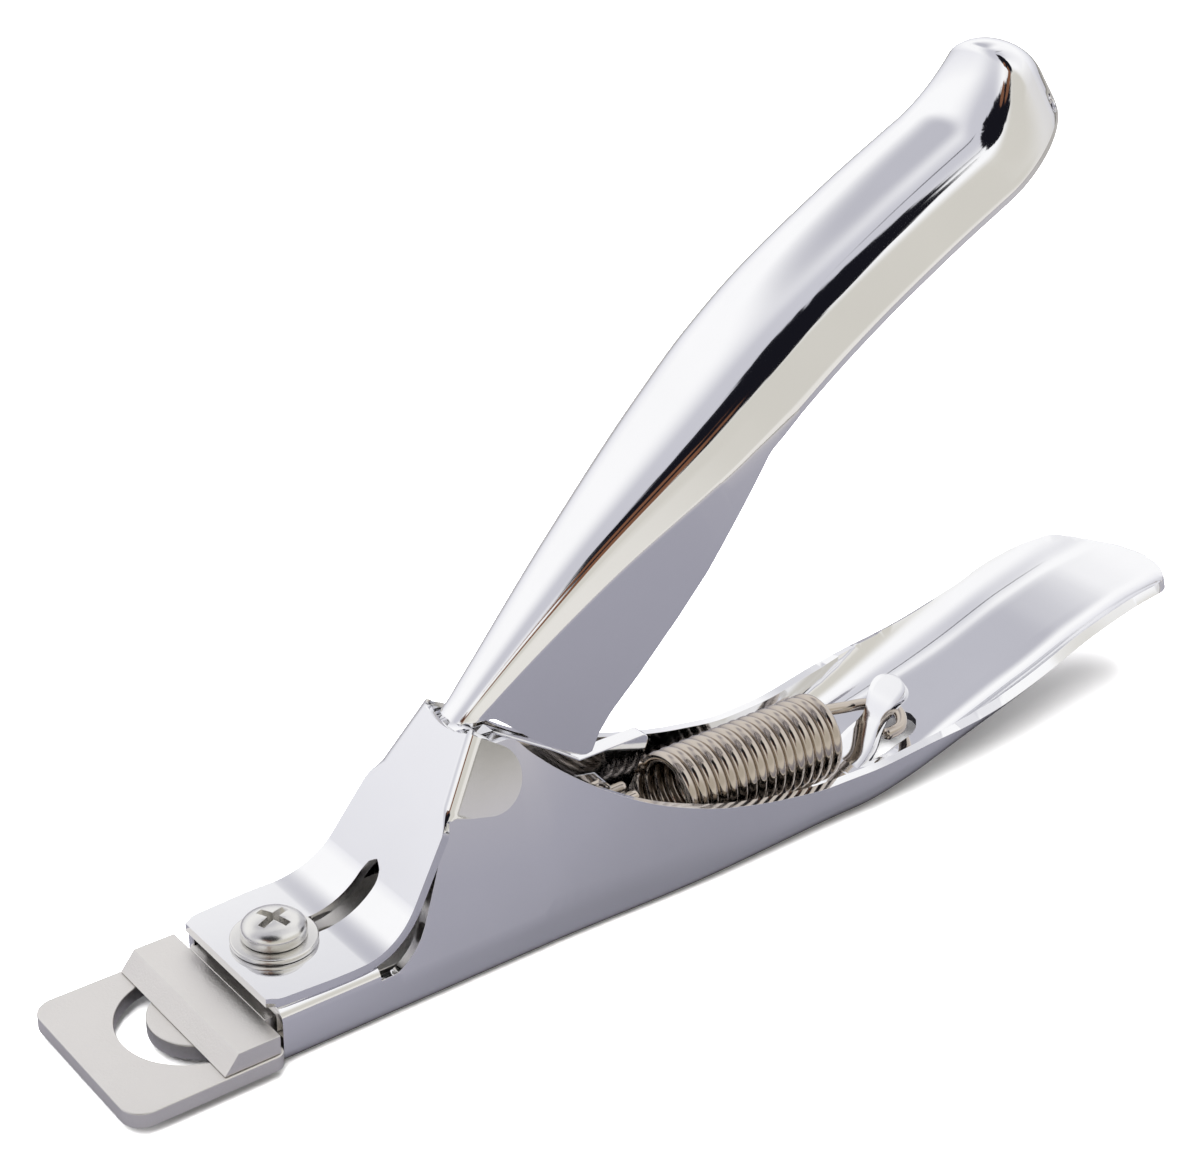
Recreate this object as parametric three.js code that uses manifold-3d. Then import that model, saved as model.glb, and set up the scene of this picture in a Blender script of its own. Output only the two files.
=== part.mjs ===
// Guillotine cutter for artificial nail tips: two sprung handles that slide a blade over an anvil plate.
// Millimetres, +Z up. The origin is on the flat underside, straight below the hinge axis.
// +X runs from the hinge towards the grips, -X towards the cutting end, and the tool is mirrored in y
// except for the spring, its tongue and the lever's web, which sit a little to the -Y side.
import * as THREE from 'three';
import { mergeVertices } from 'three/addons/utils/BufferGeometryUtils.js';
import Module from 'manifold-3d';

const wasm = await Module();
wasm.setup();

// ---- driving dimensions ----
const SHEET = 0.95;             // handle sheet
const COVER_SHEET = 0.8;
const RUN = 0.05;               // running clearance on radii and between flat faces

const HINGE_Z = 17;
const PIN_R = 1.1;
const PIN_HALF = 3.75;

const FRAME_FRONT = -22.1;
const FRAME_REAR = 86;
const FRAME_HALF_FRONT = 7.4;
const FRAME_HALF_MID = 8;
const FRAME_HALF_REAR = 8.7;
const FRAME_FILLET_FRONT = 1.6;
const FRAME_FILLET_REAR = 3.5;
const TRAY_HALF = 10;           // the tray's section is a wide, shallow trough
const TRAY_FILLET = 6.5;
const TRAY_RISE_START = 40;     // where the tray's floor leaves the flat base
const TRAY_ROUND_START = 76;    // where the tray's rear end starts to round off
const TRAY_RIM_HALF = 8.4;
const WALL_LEAN = 0.26;         // inward lean of the walls beside the hinge, per mm of height
const LEAN_FROM_Z = 4.2;
const LEAN_FADE_START = 3.2;
const LEAN_FADE_END = 21;
const LIP_REAR = -12.9;
const LIP_TOP = 5.5;
const LIP_INNER_Y = 4.6;
const LIP_BEND = 1.3;

const PLATE_FRONT = -36;
const PLATE_SHOULDER = -22.4;
const PLATE_REAR = -6;
const PLATE_HALF = 8.55;
const PLATE_Z0 = SHEET + RUN;
const PLATE_Z1 = PLATE_Z0 + 1.4;
const TANG_HALF = 5.8;
const CUT_X = -26;              // centre of the crescent's outer arc
const CUT_R = 6.2;
const ISLAND_X = CUT_X + 0.75;
const ISLAND_R = 4.35;
const CRESCENT_END = CUT_X + 2;

const BLADE_EDGE = -27.9;
const BLADE_BEVEL = 1.3;
const BLADE_SHOULDER = -22.9;
const BLADE_REAR = 6.5;
const BLADE_HALF = 8.35;
const BLADE_TAIL_HALF = 5.9;
const BLADE_Z0 = PLATE_Z1 + RUN;
const BLADE_Z1 = BLADE_Z0 + 1.7;
const BLADE_TRAVEL = 5.5;

const SCREW_X = -18.3;
const SCREW_R = 1.5;
const SCREW_HEAD_R = 2.7;
const WASHER_R = 3.6;
const WASHER_T = 0.5;

const COVER_FRONT = -22.9;
const COVER_TOP = LIP_TOP + RUN + COVER_SHEET;
const COVER_KNEE = -10.8;       // where the flat and the slope would meet
const COVER_SLOPE = THREE.MathUtils.degToRad(57.8);
const COVER_BEND = 6.7;
const COVER_SLOT_HALF = 1.15;
const COVER_TOP_Z = 21.6;
const COVER_DIP_Z = 20.7;       // lowest point of the cover's top edge, under the lever
const COVER_HALF_AT_TOP = 3.77;
const EAR_LEAN = 0.32;
const EAR_TOP_Z = 21.2;
const EAR_R = 2.9;
const EAR_X = -0.35;
const EAR_Z = 17.35;
const EAR_UPPER = THREE.MathUtils.degToRad(59.3);   // where the round end meets its straight edges
const EAR_LOWER = THREE.MathUtils.degToRad(-101.5);

const GRIP_HALF = 7.9;
const GRIP_RISE = 0.56;         // crown height over half width
const FLANK_IN = 0.22;          // how far the flat flank leans in, over half width
const FLANK_RISE = 0.33;        // and how high it climbs
const TIP_SWELL = 3.6;          // extra crown height just before the tip
const NECK_HALF = 2.05;
const LEG_FLARE = 0.05;         // outward flare of the lever's side plates, per mm of depth
const LEG_DEPTH = 15;
const LEG_END = 25.5;
const RIM_DEPTH = 0.6;
const TIP_TAPER = 12.5;         // length of the grip's narrowing end along the lever
const NOSE_ROUND = 5;
const HANG_R = 0.85;            // hanging hole through the near side of the tip
const HANG_AT = [59.8, -4.1, 63.7];
const HANG_TILT = 60;           // its axis from upright, and how far that is turned round, degrees
const HANG_TURN = -60;
const TOE_REACH = 13.7;         // hinge axis to the middle of the toe
const TOE_R = 1.2;
const TOE_REST = THREE.MathUtils.degToRad(10);
const TOE_GAP = 0.32;
const WEB_Y = -0.5;
const WEB_T = 1.6;
const HUB_R = 2.6;
const HUB_HALF = 2.1;

const SPRING_Y = -0.9;
const SPRING_Z = 5.45;
const SPRING_R = 4.2;
const SPRING_WIRE = 1.15;
const SPRING_X0 = 20.5;
const SPRING_X1 = 40.5;
const TONGUE_HALF = 2.1;

// ---- general helpers ----
function toSolid(geometry) {
  const bare = geometry.clone();
  bare.deleteAttribute('normal');
  bare.deleteAttribute('uv');
  const merged = mergeVertices(bare, 1e-4);
  const vertProperties = Float32Array.from(merged.attributes.position.array);
  const triVerts = Uint32Array.from(merged.index.array);
  return new wasm.Manifold(new wasm.Mesh({ numProp: 3, vertProperties, triVerts }));
}

function toGeometry(solid) {
  const mesh = solid.getMesh();
  const geometry = new THREE.BufferGeometry();
  geometry.setAttribute('position', new THREE.BufferAttribute(mesh.vertProperties, 3));
  geometry.setIndex(new THREE.BufferAttribute(mesh.triVerts, 1));
  geometry.computeVertexNormals();
  return geometry;
}

const shapeOf = (points) => new THREE.Shape(points.map(([x, y]) => new THREE.Vector2(x, y)));

// A shape drawn in x and z, extruded from y0 to y1.
function prismY(shape, y0, y1, curveSegments = 12) {
  const geometry = new THREE.ExtrudeGeometry(shape, { depth: y1 - y0, bevelEnabled: false, curveSegments });
  geometry.rotateX(Math.PI / 2).translate(0, y1, 0);
  return toSolid(geometry);
}

// A shape drawn in x and y, extruded from z0 to z1.
function prismZ(shape, z0, z1, curveSegments = 12) {
  const geometry = new THREE.ExtrudeGeometry(shape, { depth: z1 - z0, bevelEnabled: false, curveSegments });
  return toSolid(geometry.translate(0, 0, z0));
}

function boxSolid(x0, x1, y0, y1, z0, z1) {
  const geometry = new THREE.BoxGeometry(x1 - x0, y1 - y0, z1 - z0);
  return toSolid(geometry.translate((x0 + x1) / 2, (y0 + y1) / 2, (z0 + z1) / 2));
}

function rodY(x, z, r, y0, y1, segments = 32) {
  const geometry = new THREE.CylinderGeometry(r, r, y1 - y0, segments);
  return toSolid(geometry.translate(x, (y0 + y1) / 2, z));
}

function rodZ(x, y, r, z0, z1, segments = 32) {
  const geometry = new THREE.CylinderGeometry(r, r, z1 - z0, segments).rotateX(Math.PI / 2);
  return toSolid(geometry.translate(x, y, (z0 + z1) / 2));
}

function slotShape(x0, x1, half) {
  const shape = new THREE.Shape();
  shape.moveTo(x0, -half);
  shape.lineTo(x1, -half);
  shape.absarc(x1, 0, half, -Math.PI / 2, Math.PI / 2);
  shape.lineTo(x0, half);
  shape.absarc(x0, 0, half, Math.PI / 2, Math.PI * 1.5);
  return shape;
}

// Closed skin around a row of sheet sections, each with matching outer and inner points.
function sheetLoft(sections) {
  const across = sections[0].outer.length;
  const positions = [];
  for (const { outer, inner } of sections) positions.push(...outer.flat(), ...inner.flat());
  const outerAt = (i, j) => i * 2 * across + j;
  const innerAt = (i, j) => i * 2 * across + across + j;
  const index = [];
  const quad = (a, b, c, d) => index.push(a, b, c, a, c, d);
  const last = sections.length - 1;
  for (let i = 0; i < last; i++) {
    for (let j = 0; j < across - 1; j++) {
      quad(outerAt(i, j), outerAt(i, j + 1), outerAt(i + 1, j + 1), outerAt(i + 1, j));
      quad(innerAt(i, j), innerAt(i + 1, j), innerAt(i + 1, j + 1), innerAt(i, j + 1));
    }
    quad(outerAt(i, 0), outerAt(i + 1, 0), innerAt(i + 1, 0), innerAt(i, 0));
    const k = across - 1;
    quad(outerAt(i, k), innerAt(i, k), innerAt(i + 1, k), outerAt(i + 1, k));
  }
  for (let j = 0; j < across - 1; j++) {
    quad(outerAt(0, j), innerAt(0, j), innerAt(0, j + 1), outerAt(0, j + 1));
    quad(outerAt(last, j), outerAt(last, j + 1), innerAt(last, j + 1), innerAt(last, j));
  }
  const geometry = new THREE.BufferGeometry();
  geometry.setAttribute('position', new THREE.Float32BufferAttribute(positions, 3));
  geometry.setIndex(index);
  return toSolid(geometry);
}

// Height or width that follows a few given points with a monotone smooth curve.
function through(points) {
  const slopes = points.map((p, i) => {
    if (i === 0 || i === points.length - 1) return 0;
    const before = (p[1] - points[i - 1][1]) / (p[0] - points[i - 1][0]);
    const after = (points[i + 1][1] - p[1]) / (points[i + 1][0] - p[0]);
    return before * after <= 0 ? 0 : (2 * before * after) / (before + after);
  });
  return (x) => {
    if (x <= points[0][0]) return points[0][1];
    const i = points.findIndex((p) => x <= p[0]);
    if (i < 0) return points.at(-1)[1];
    const [x0, y0] = points[i - 1];
    const [x1, y1] = points[i];
    const h = x1 - x0;
    const t = (x - x0) / h;
    const rise = (2 * t ** 3 - 3 * t ** 2 + 1) * y0 + (3 * t ** 2 - 2 * t ** 3) * y1;
    return rise + (t ** 3 - 2 * t ** 2 + t) * h * slopes[i - 1] + (t ** 3 - t ** 2) * h * slopes[i];
  };
}

const mirrorY = (solid) => solid.mirror([0, 1, 0]);
const both = (solid) => solid.add(mirrorY(solid));

// ---- lower handle ----
const frameHalf = through([
  [4, FRAME_HALF_FRONT], [24, FRAME_HALF_MID], [34, FRAME_HALF_MID], [48, FRAME_HALF_REAR],
  [62, TRAY_HALF],
]);
const frameFillet = through([[8, FRAME_FILLET_FRONT], [44, FRAME_FILLET_REAR], [62, TRAY_FILLET]]);
const trayFloor = through([
  [TRAY_RISE_START, 0], [46, 0.9], [54, 2.9], [62, 5.2], [70, 7.8], [78, 9.4], [FRAME_REAR, 10],
]);
const wallTop = through([
  [-11.6, 4.4], [-10.1, 5.1], [-8.7, 6.4], [-7.3, 9], [-4.4, 14.9], [-2.4, 18.2], [-0.8, 19.3], [1.2, 19.6],
  [2.6, 19.55], [4.3, 17.9], [6.4, 16], [10.1, 13.3], [14.8, 10.6], [18.6, 9],
  [24, 7.2], [30, 5.8], [36, 5], [40, 4.98], [48, 5.8], [56, 6.6], [60, 7.3], [66, 8.8], [72, 10.5],
  [77, 11.2], [FRAME_REAR, 11.4],
]);

function wallLean(x) {
  const fade = THREE.MathUtils.clamp((LEAN_FADE_END - x) / (LEAN_FADE_END - LEAN_FADE_START), 0, 1);
  return WALL_LEAN * fade;
}

function trayOutline(x) {
  const t = Math.max(0, (x - TRAY_ROUND_START) / (FRAME_REAR + 0.15 - TRAY_ROUND_START));
  return TRAY_RIM_HALF * Math.sqrt(1 - t * t);
}

// Point of the frame's section at x, s mm along the sheet from the middle of the floor.
function framePoint(x, s, inset) {
  const fillet = frameFillet(x);
  const flat = frameHalf(x) - fillet;
  const base = trayFloor(x);
  if (s <= flat) return [x, s, base + inset];
  const angle = Math.min((s - flat) / fillet, Math.PI / 2);
  const wall = Math.max(0, s - flat - (fillet * Math.PI) / 2);
  const z = base + fillet - (fillet - inset) * Math.cos(angle) + wall;
  const lean = wallLean(x) * Math.max(0, z - LEAN_FROM_Z);
  return [x, flat + (fillet - inset) * Math.sin(angle) - lean, z];
}

function frameReach(x) {
  const fillet = frameFillet(x);
  const flat = frameHalf(x) - fillet;
  const height = wallTop(x) - trayFloor(x);
  const bent = Math.acos(Math.max(0, 1 - height / fillet));
  const toRim = flat + fillet * bent + Math.max(0, height - fillet);
  if (x <= TRAY_ROUND_START) return toRim;
  const half = trayOutline(x);
  const toOutline = half <= flat ? half : flat + fillet * Math.asin(Math.min(1, (half - flat) / fillet));
  return Math.min(toRim, toOutline);
}

function frameSection(x) {
  const fillet = frameFillet(x);
  const reach = frameReach(x);
  const floorEnd = Math.min(frameHalf(x) - fillet, 0.45 * reach);
  const bendEnd = Math.min(floorEnd + (fillet * Math.PI) / 2, 0.8 * reach);
  const stops = [0];
  const fill = (from, to, count) => {
    for (let i = 1; i <= count; i++) stops.push(from + ((to - from) * i) / count);
  };
  fill(0, floorEnd, 1);
  fill(floorEnd, bendEnd, 5);
  fill(bendEnd, reach, 2);
  const half = (inset) => stops.map((s) => framePoint(x, s, inset));
  const full = (points) => [...points.slice(1).reverse().map(([a, b, c]) => [a, -b, c]), ...points];
  return { outer: full(half(0)), inner: full(half(SHEET)) };
}

function frameStations() {
  const stations = [FRAME_FRONT, -18, -14];
  for (let x = -11.6; x < 3.2; x += 0.95) stations.push(x);
  for (let x = 3.6; x < 40; x += 3.2) stations.push(x);
  for (let x = 41; x < TRAY_ROUND_START; x += 3.5) stations.push(x);
  for (let k = 0; k <= 7; k++) {
    stations.push(TRAY_ROUND_START + (FRAME_REAR - TRAY_ROUND_START) * Math.sin((k / 7) * (Math.PI / 2)));
  }
  return stations;
}

function lipSolid() {
  const shape = new THREE.Shape();
  const outer = FRAME_HALF_FRONT;
  shape.moveTo(outer, 3.6);
  shape.lineTo(outer, LIP_TOP - LIP_BEND);
  shape.absarc(outer - LIP_BEND, LIP_TOP - LIP_BEND, LIP_BEND, 0, Math.PI / 2);
  shape.lineTo(LIP_INNER_Y, LIP_TOP);
  shape.lineTo(LIP_INNER_Y, LIP_TOP - SHEET);
  shape.lineTo(outer - LIP_BEND, LIP_TOP - SHEET);
  shape.absarc(outer - LIP_BEND, LIP_TOP - LIP_BEND, LIP_BEND - SHEET, Math.PI / 2, 0, true);
  shape.lineTo(outer - SHEET, 3.6);
  const options = { depth: LIP_REAR - FRAME_FRONT, bevelEnabled: false, curveSegments: 5 };
  const geometry = new THREE.ExtrudeGeometry(shape, options);
  // shape x becomes y, shape y becomes z, the extrusion becomes x
  geometry.applyMatrix4(new THREE.Matrix4().set(0, 0, 1, FRAME_FRONT, 1, 0, 0, 0, 0, 1, 0, 0, 0, 0, 0, 1));
  return toSolid(geometry);
}

function tongueSolid() {
  const line = new THREE.CatmullRomCurve3([
    [42.6, 0.75], [44.2, 1.1], [46, 2.6], [47.6, 4.4], [48.9, 6.6], [50.6, 8.1],
  ].map(([x, z]) => new THREE.Vector3(x, 0, z)));
  const steps = 14;
  const sections = [];
  for (let i = 0; i <= steps; i++) {
    const t = i / steps;
    const p = line.getPoint(t);
    const d = line.getTangent(t);
    const waist = 1 - 0.42 * Math.exp(-(((t - 0.62) / 0.16) ** 2));
    const tip = t > 0.86 ? Math.sqrt(Math.max(0.1, 1 - ((t - 0.86) / 0.15) ** 2)) : 1;
    const half = TONGUE_HALF * waist * tip;
    const level = (side, off) => [p.x + d.z * off, SPRING_Y + side * half, p.z - d.x * off];
    const row = (off) => [-1, 0, 1].map((side) => level(side, off));
    sections.push({ outer: row(SHEET / 2), inner: row(-SHEET / 2) });
  }
  return sheetLoft(sections);
}

function lowerHandle() {
  const shell = sheetLoft(frameStations().map(frameSection));
  const window = prismZ(slotShape(46.4, 50.6, TONGUE_HALF + 0.55), -1, 4.6).translate([0, SPRING_Y, 0]);
  const pinHoles = rodY(0, HINGE_Z, PIN_R + RUN, -12, 12);
  const screwHole = rodZ(SCREW_X, 0, SCREW_R + 0.2, -1, 2);
  return shell.add(both(lipSolid())).subtract(window).add(tongueSolid())
    .subtract(pinHoles).subtract(screwHole);
}

// ---- upper handle ----
const leverLine = new THREE.CatmullRomCurve3([
  [-3.2, 17.6], [1.6, 22.4], [12, 31.4], [23.3, 39.8], [33.8, 47.9], [43.8, 54], [53.8, 59.3], [62.3, 63.95],
].map(([x, z]) => new THREE.Vector3(x, 0, z)), false, 'centripetal');
const LEVER_LENGTH = leverLine.getLength();
const leverHalf = through([
  [-3.2, NECK_HALF], [0, NECK_HALF], [1.6, 2.3], [12, 4.5], [23.5, 7.1], [29, 7.75], [36, GRIP_HALF],
]);

// A point n mm above the lever's crease line, t of the way along it.
function aboveCrease(t, y, n) {
  const p = leverLine.getPointAt(t);
  const d = leverLine.getTangentAt(t);
  return [p.x - d.z * n, y, p.z + d.x * n];
}

// Half section of the grip from rim to crown: a flat flank, a tight bend, then a flatter top.
function dome(half, rise) {
  const low = new THREE.Vector2(half * (1 - FLANK_IN), (rise * FLANK_RISE) / GRIP_RISE);
  const corner = new THREE.Vector2(half * (1 - (FLANK_IN * GRIP_RISE) / FLANK_RISE), rise);
  const top = new THREE.Vector2(0, rise);
  const towardLow = low.clone().lerp(corner, 0.8);
  const towardTop = top.clone().lerp(corner, 0.55);
  const bend = new THREE.CubicBezierCurve(low, towardLow, towardTop, top);
  return [new THREE.Vector2(half, 0), ...bend.getPoints(6)].map((p) => [p.x, p.y]);
}

function leverSection(t) {
  const { x } = leverLine.getPointAt(t);
  const toEnd = (1 - t) * LEVER_LENGTH;
  const narrow = Math.max(0.07, Math.sqrt(1 - Math.max(0, 1 - toEnd / TIP_TAPER) ** 1.7));
  const nose = Math.max(0.2, Math.sqrt(1 - Math.max(0, 1 - toEnd / NOSE_ROUND) ** 2));
  const half = leverHalf(x) * narrow;
  const swell = TIP_SWELL * THREE.MathUtils.clamp((12 - toEnd) / 7, 0, 1) ** 2;
  const rise = (leverHalf(x) * GRIP_RISE + swell) * nose;
  const depth = x < LEG_END ? LEG_DEPTH : RIM_DEPTH;
  const row = (inset) => {
    const points = [];
    const leg = (side, part) => side * (half - inset + LEG_FLARE * depth * part);
    for (const part of [1, 0.5]) points.push(aboveCrease(t, leg(1, part), -depth * part));
    const crown = dome(half - inset, rise - inset);
    const across = [...crown, ...crown.slice(0, -1).reverse().map(([y, n]) => [-y, n])];
    for (const [y, n] of across) points.push(aboveCrease(t, y, n));
    for (const part of [0.5, 1]) points.push(aboveCrease(t, leg(-1, part), -depth * part));
    return points;
  };
  return { outer: row(0), inner: row(Math.min(SHEET, half * 0.7, rise * 0.7)) };
}

// Side view of everything the lever's sheet keeps: grip above, side plates below.
function leverProfile() {
  const rim = [];
  for (let t = 1; t > 0.43; t -= 0.03) {
    const [x, , z] = aboveCrease(t, 0, -RIM_DEPTH);
    if (x > LEG_END + 1.2) rim.push([x, z]);
  }
  return shapeOf([
    [-1.35, 21.15], [-1.35, 30], [40, 80], [80, 80], [80, 66], ...rim,
    [25.2, 39.2], [23.4, 35.5], [20.9, 30.5], [18.5, 26.5], [15.4, 21.9], [12.9, 18.6], [11.9, 16.8],
    [11.3, 14.9], [10.6, 14.9], [8.8, 15.7], [6.3, 17.4], [4.6, 18.8], [2.9, 20.3], [1.7, 21.2],
  ]);
}

function webSolid() {
  const toe = new THREE.Vector2(0, -TOE_REACH).rotateAround(new THREE.Vector2(), TOE_REST);
  toe.y += HINGE_Z;
  const finger = shapeOf([
    [-1.9, 16], [toe.x - 1.02, toe.y + 0.6], [toe.x + 1.02, toe.y + 0.6], [2.6, 15.4], [2, 18],
  ]);
  const arm = new THREE.Shape();
  arm.moveTo(1.2, 18.8);
  arm.lineTo(8.6, 15.4);
  arm.lineTo(11.6, 13.3);
  arm.lineTo(18.4, 13.3);
  arm.quadraticCurveTo(19.6, 13.3, 19.2, 12.2);
  arm.lineTo(16.9, 7.4);
  arm.quadraticCurveTo(16.6, 6.7, 15.8, 6.7);
  arm.lineTo(14.9, 6.7);
  arm.lineTo(14.9, 9.2);
  arm.lineTo(13.1, 11.2);
  arm.lineTo(8, 12.2);
  arm.lineTo(1.8, 14.8);
  const y0 = WEB_Y - WEB_T / 2;
  const y1 = WEB_Y + WEB_T / 2;
  return prismY(finger, y0, y1).add(prismY(arm, y0, y1, 6)).add(rodY(toe.x, toe.y, TOE_R, y0, y1));
}

function upperHandle() {
  const sections = [];
  const steps = 30;
  for (let i = 0; i <= steps; i++) sections.push(leverSection(1 - (1 - i / steps) ** 1.25));
  const shell = sheetLoft(sections).intersect(prismY(leverProfile(), -12, 12));
  const cheekShape = shapeOf([[-1.7, 18.4], [-0.3, 20.6], [1.2, 22.6], [5, 23.5], [3.2, 20], [2.5, 17]]);
  const cheek = prismY(cheekShape, 1.05, NECK_HALF);
  const hub = rodY(0, HINGE_Z, HUB_R, -HUB_HALF, HUB_HALF);
  const hangHole = rodZ(0, 0, HANG_R, -2.2, 2.2, 20).rotate([0, HANG_TILT, HANG_TURN]).translate(HANG_AT);
  return shell.add(both(cheek)).add(hub).add(webSolid())
    .subtract(rodY(0, HINGE_Z, PIN_R + RUN, -3, 3)).subtract(hangHole);
}

// ---- cutting end ----
function plateShape() {
  const shape = new THREE.Shape();
  const corner = 1.9;
  shape.moveTo(PLATE_REAR, -TANG_HALF);
  shape.lineTo(PLATE_REAR, TANG_HALF);
  shape.lineTo(PLATE_SHOULDER, TANG_HALF);
  shape.lineTo(PLATE_SHOULDER, PLATE_HALF - 0.9);
  shape.absarc(PLATE_SHOULDER - 0.9, PLATE_HALF - 0.9, 0.9, 0, Math.PI / 2);
  shape.lineTo(PLATE_FRONT + corner, PLATE_HALF);
  shape.absarc(PLATE_FRONT + corner, PLATE_HALF - corner, corner, Math.PI / 2, Math.PI);
  shape.lineTo(PLATE_FRONT, corner - PLATE_HALF);
  shape.absarc(PLATE_FRONT + corner, corner - PLATE_HALF, corner, Math.PI, Math.PI * 1.5);
  shape.lineTo(PLATE_SHOULDER - 0.9, -PLATE_HALF);
  shape.absarc(PLATE_SHOULDER - 0.9, 0.9 - PLATE_HALF, 0.9, -Math.PI / 2, 0);
  shape.lineTo(PLATE_SHOULDER, -TANG_HALF);
  return shape;
}

function anvilPlate() {
  const plate = prismZ(plateShape(), PLATE_Z0, PLATE_Z1, 8);
  const disc = rodZ(CUT_X, 0, CUT_R, PLATE_Z0 - 1, PLATE_Z1 + 1, 48);
  const island = rodZ(ISLAND_X, 0, ISLAND_R, PLATE_Z0 - 2, PLATE_Z1 + 2, 36);
  const behind = boxSolid(CRESCENT_END, CRESCENT_END + 10, -10, 10, -1, 6);
  const screwHole = rodZ(SCREW_X, 0, SCREW_R + 0.2, PLATE_Z0 - 1, PLATE_Z1 + 1);
  return plate.subtract(disc.subtract(island).subtract(behind)).subtract(screwHole);
}

function bladeSolid() {
  const side = shapeOf([
    [BLADE_EDGE, BLADE_Z0], [BLADE_SHOULDER, BLADE_Z0], [BLADE_SHOULDER, BLADE_Z1],
    [BLADE_EDGE + BLADE_BEVEL, BLADE_Z1],
  ]);
  const head = prismY(side, -BLADE_HALF, BLADE_HALF);
  const overlap = 0.5;
  const half = BLADE_TAIL_HALF;
  const tail = boxSolid(BLADE_SHOULDER - overlap, BLADE_REAR, -half, half, BLADE_Z0, BLADE_Z1);
  const guide = prismZ(slotShape(SCREW_X, SCREW_X + BLADE_TRAVEL, SCREW_R + 0.35), 0, 8, 10);
  const toeX = TOE_REACH * Math.sin(TOE_REST);
  const reach = TOE_R + TOE_GAP;
  const pocketHalf = WEB_T / 2 + TOE_GAP;
  const pocket = boxSolid(toeX - reach, toeX + reach, WEB_Y - pocketHalf, WEB_Y + pocketHalf, 0, 8);
  return head.add(tail).subtract(guide).subtract(pocket);
}

const slopeRise = Math.tan(COVER_SLOPE);

// Points along the cover's middle line: the top face, the direction it runs in, and how far it has run.
function coverLine() {
  const tangent = COVER_BEND * Math.tan(COVER_SLOPE / 2);
  const line = [];
  for (let x = COVER_FRONT; x < COVER_KNEE - tangent - 0.5; x += 1.4) line.push({ x, z: COVER_TOP, a: 0 });
  const bends = 10;
  for (let i = 0; i <= bends; i++) {
    const a = (COVER_SLOPE * i) / bends;
    const x = COVER_KNEE - tangent + COVER_BEND * Math.sin(a);
    line.push({ x, z: COVER_TOP + COVER_BEND * (1 - Math.cos(a)), a });
  }
  const from = line.at(-1);
  const climbs = 8;
  for (let i = 1; i <= climbs; i++) {
    const z = from.z + ((COVER_TOP_Z - from.z) * i) / climbs;
    line.push({ x: from.x + (z - from.z) / slopeRise, z, a: COVER_SLOPE });
  }
  return line;
}

const coverHalf = through([
  [COVER_FRONT, 6.3], [-21.9, 6.85], [-20, 7], [-15.8, 7.2], [-12.8, 7.05], [-10.6, 6.75],
  [-8.9, 6.35], [-6.9, 5.85], [-5.6, 5.6], [-1.2, COVER_HALF_AT_TOP],
]);

const wallOuterAt = (z) => FRAME_HALF_FRONT - WALL_LEAN * (z - LEAN_FROM_Z);

function earSolid() {
  const topX = (z) => COVER_KNEE + (z - COVER_TOP) / slopeRise + 0.15;
  const shape = new THREE.Shape();
  shape.moveTo(topX(15.3), 15.3);
  shape.lineTo(topX(EAR_TOP_Z), EAR_TOP_Z);
  shape.absarc(EAR_X, EAR_Z, EAR_R, EAR_UPPER, EAR_LOWER, true);
  const thickness = COVER_SHEET + 0.03;
  const flat = prismY(shape, 0, thickness, 16);
  const base = wallOuterAt(EAR_TOP_Z) + RUN + 0.02 + EAR_LEAN * EAR_TOP_Z;
  // lean the ear over a little more than the wall it folds round
  return flat.transform([1, 0, 0, 0, 0, 1, 0, 0, 0, -EAR_LEAN, 1, 0, 0, base, 0, 1]);
}

function coverPlate() {
  const sections = coverLine().map(({ x, z, a }) => {
    const half = coverHalf(x);
    const point = (k, off) => [x + off * Math.sin(a), k * half, z - off * Math.cos(a)];
    const row = (off) => [-1, -0.5, 0, 0.5, 1].map((k) => point(k, off));
    return { outer: row(COVER_SHEET), inner: row(0) };
  });
  const slot = prismZ(slotShape(SCREW_X, -9.5, COVER_SLOT_HALF), 4, 14, 8);
  const screwHole = rodZ(SCREW_X, 0, SCREW_R + 0.2, 4, 8);
  const dipShape = shapeOf([[-3.2, 3], [-3.2, 0.5], [-2.2, 0.12], [0, 0], [2.2, 0.12], [3.2, 0.5], [3.2, 3]]);
  const dip = prismY(dipShape, -3, 3).rotate([0, 0, 90]).translate([-1.2, 0, COVER_DIP_Z]);
  return sheetLoft(sections).add(both(earSolid())).subtract(slot).subtract(screwHole).subtract(dip);
}

// Everything in front of the cover, plus a little room: the frame's walls stop behind it.
function coverRoom() {
  const gap = 0.12;
  const back = (COVER_SHEET + gap) / Math.sin(COVER_SLOPE);
  const underX = (z) => COVER_KNEE + (z - COVER_TOP) / slopeRise + back;
  return prismY(shapeOf([[-16, 7], [underX(7), 7], [underX(26), 26], [-16, 26]]), -12, 12);
}

function washerSolid() {
  const z0 = COVER_TOP + RUN;
  const ring = rodZ(SCREW_X, 0, WASHER_R, z0, z0 + WASHER_T, 48);
  return ring.subtract(rodZ(SCREW_X, 0, SCREW_R + 0.15, z0 - 1, z0 + 2));
}

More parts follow.
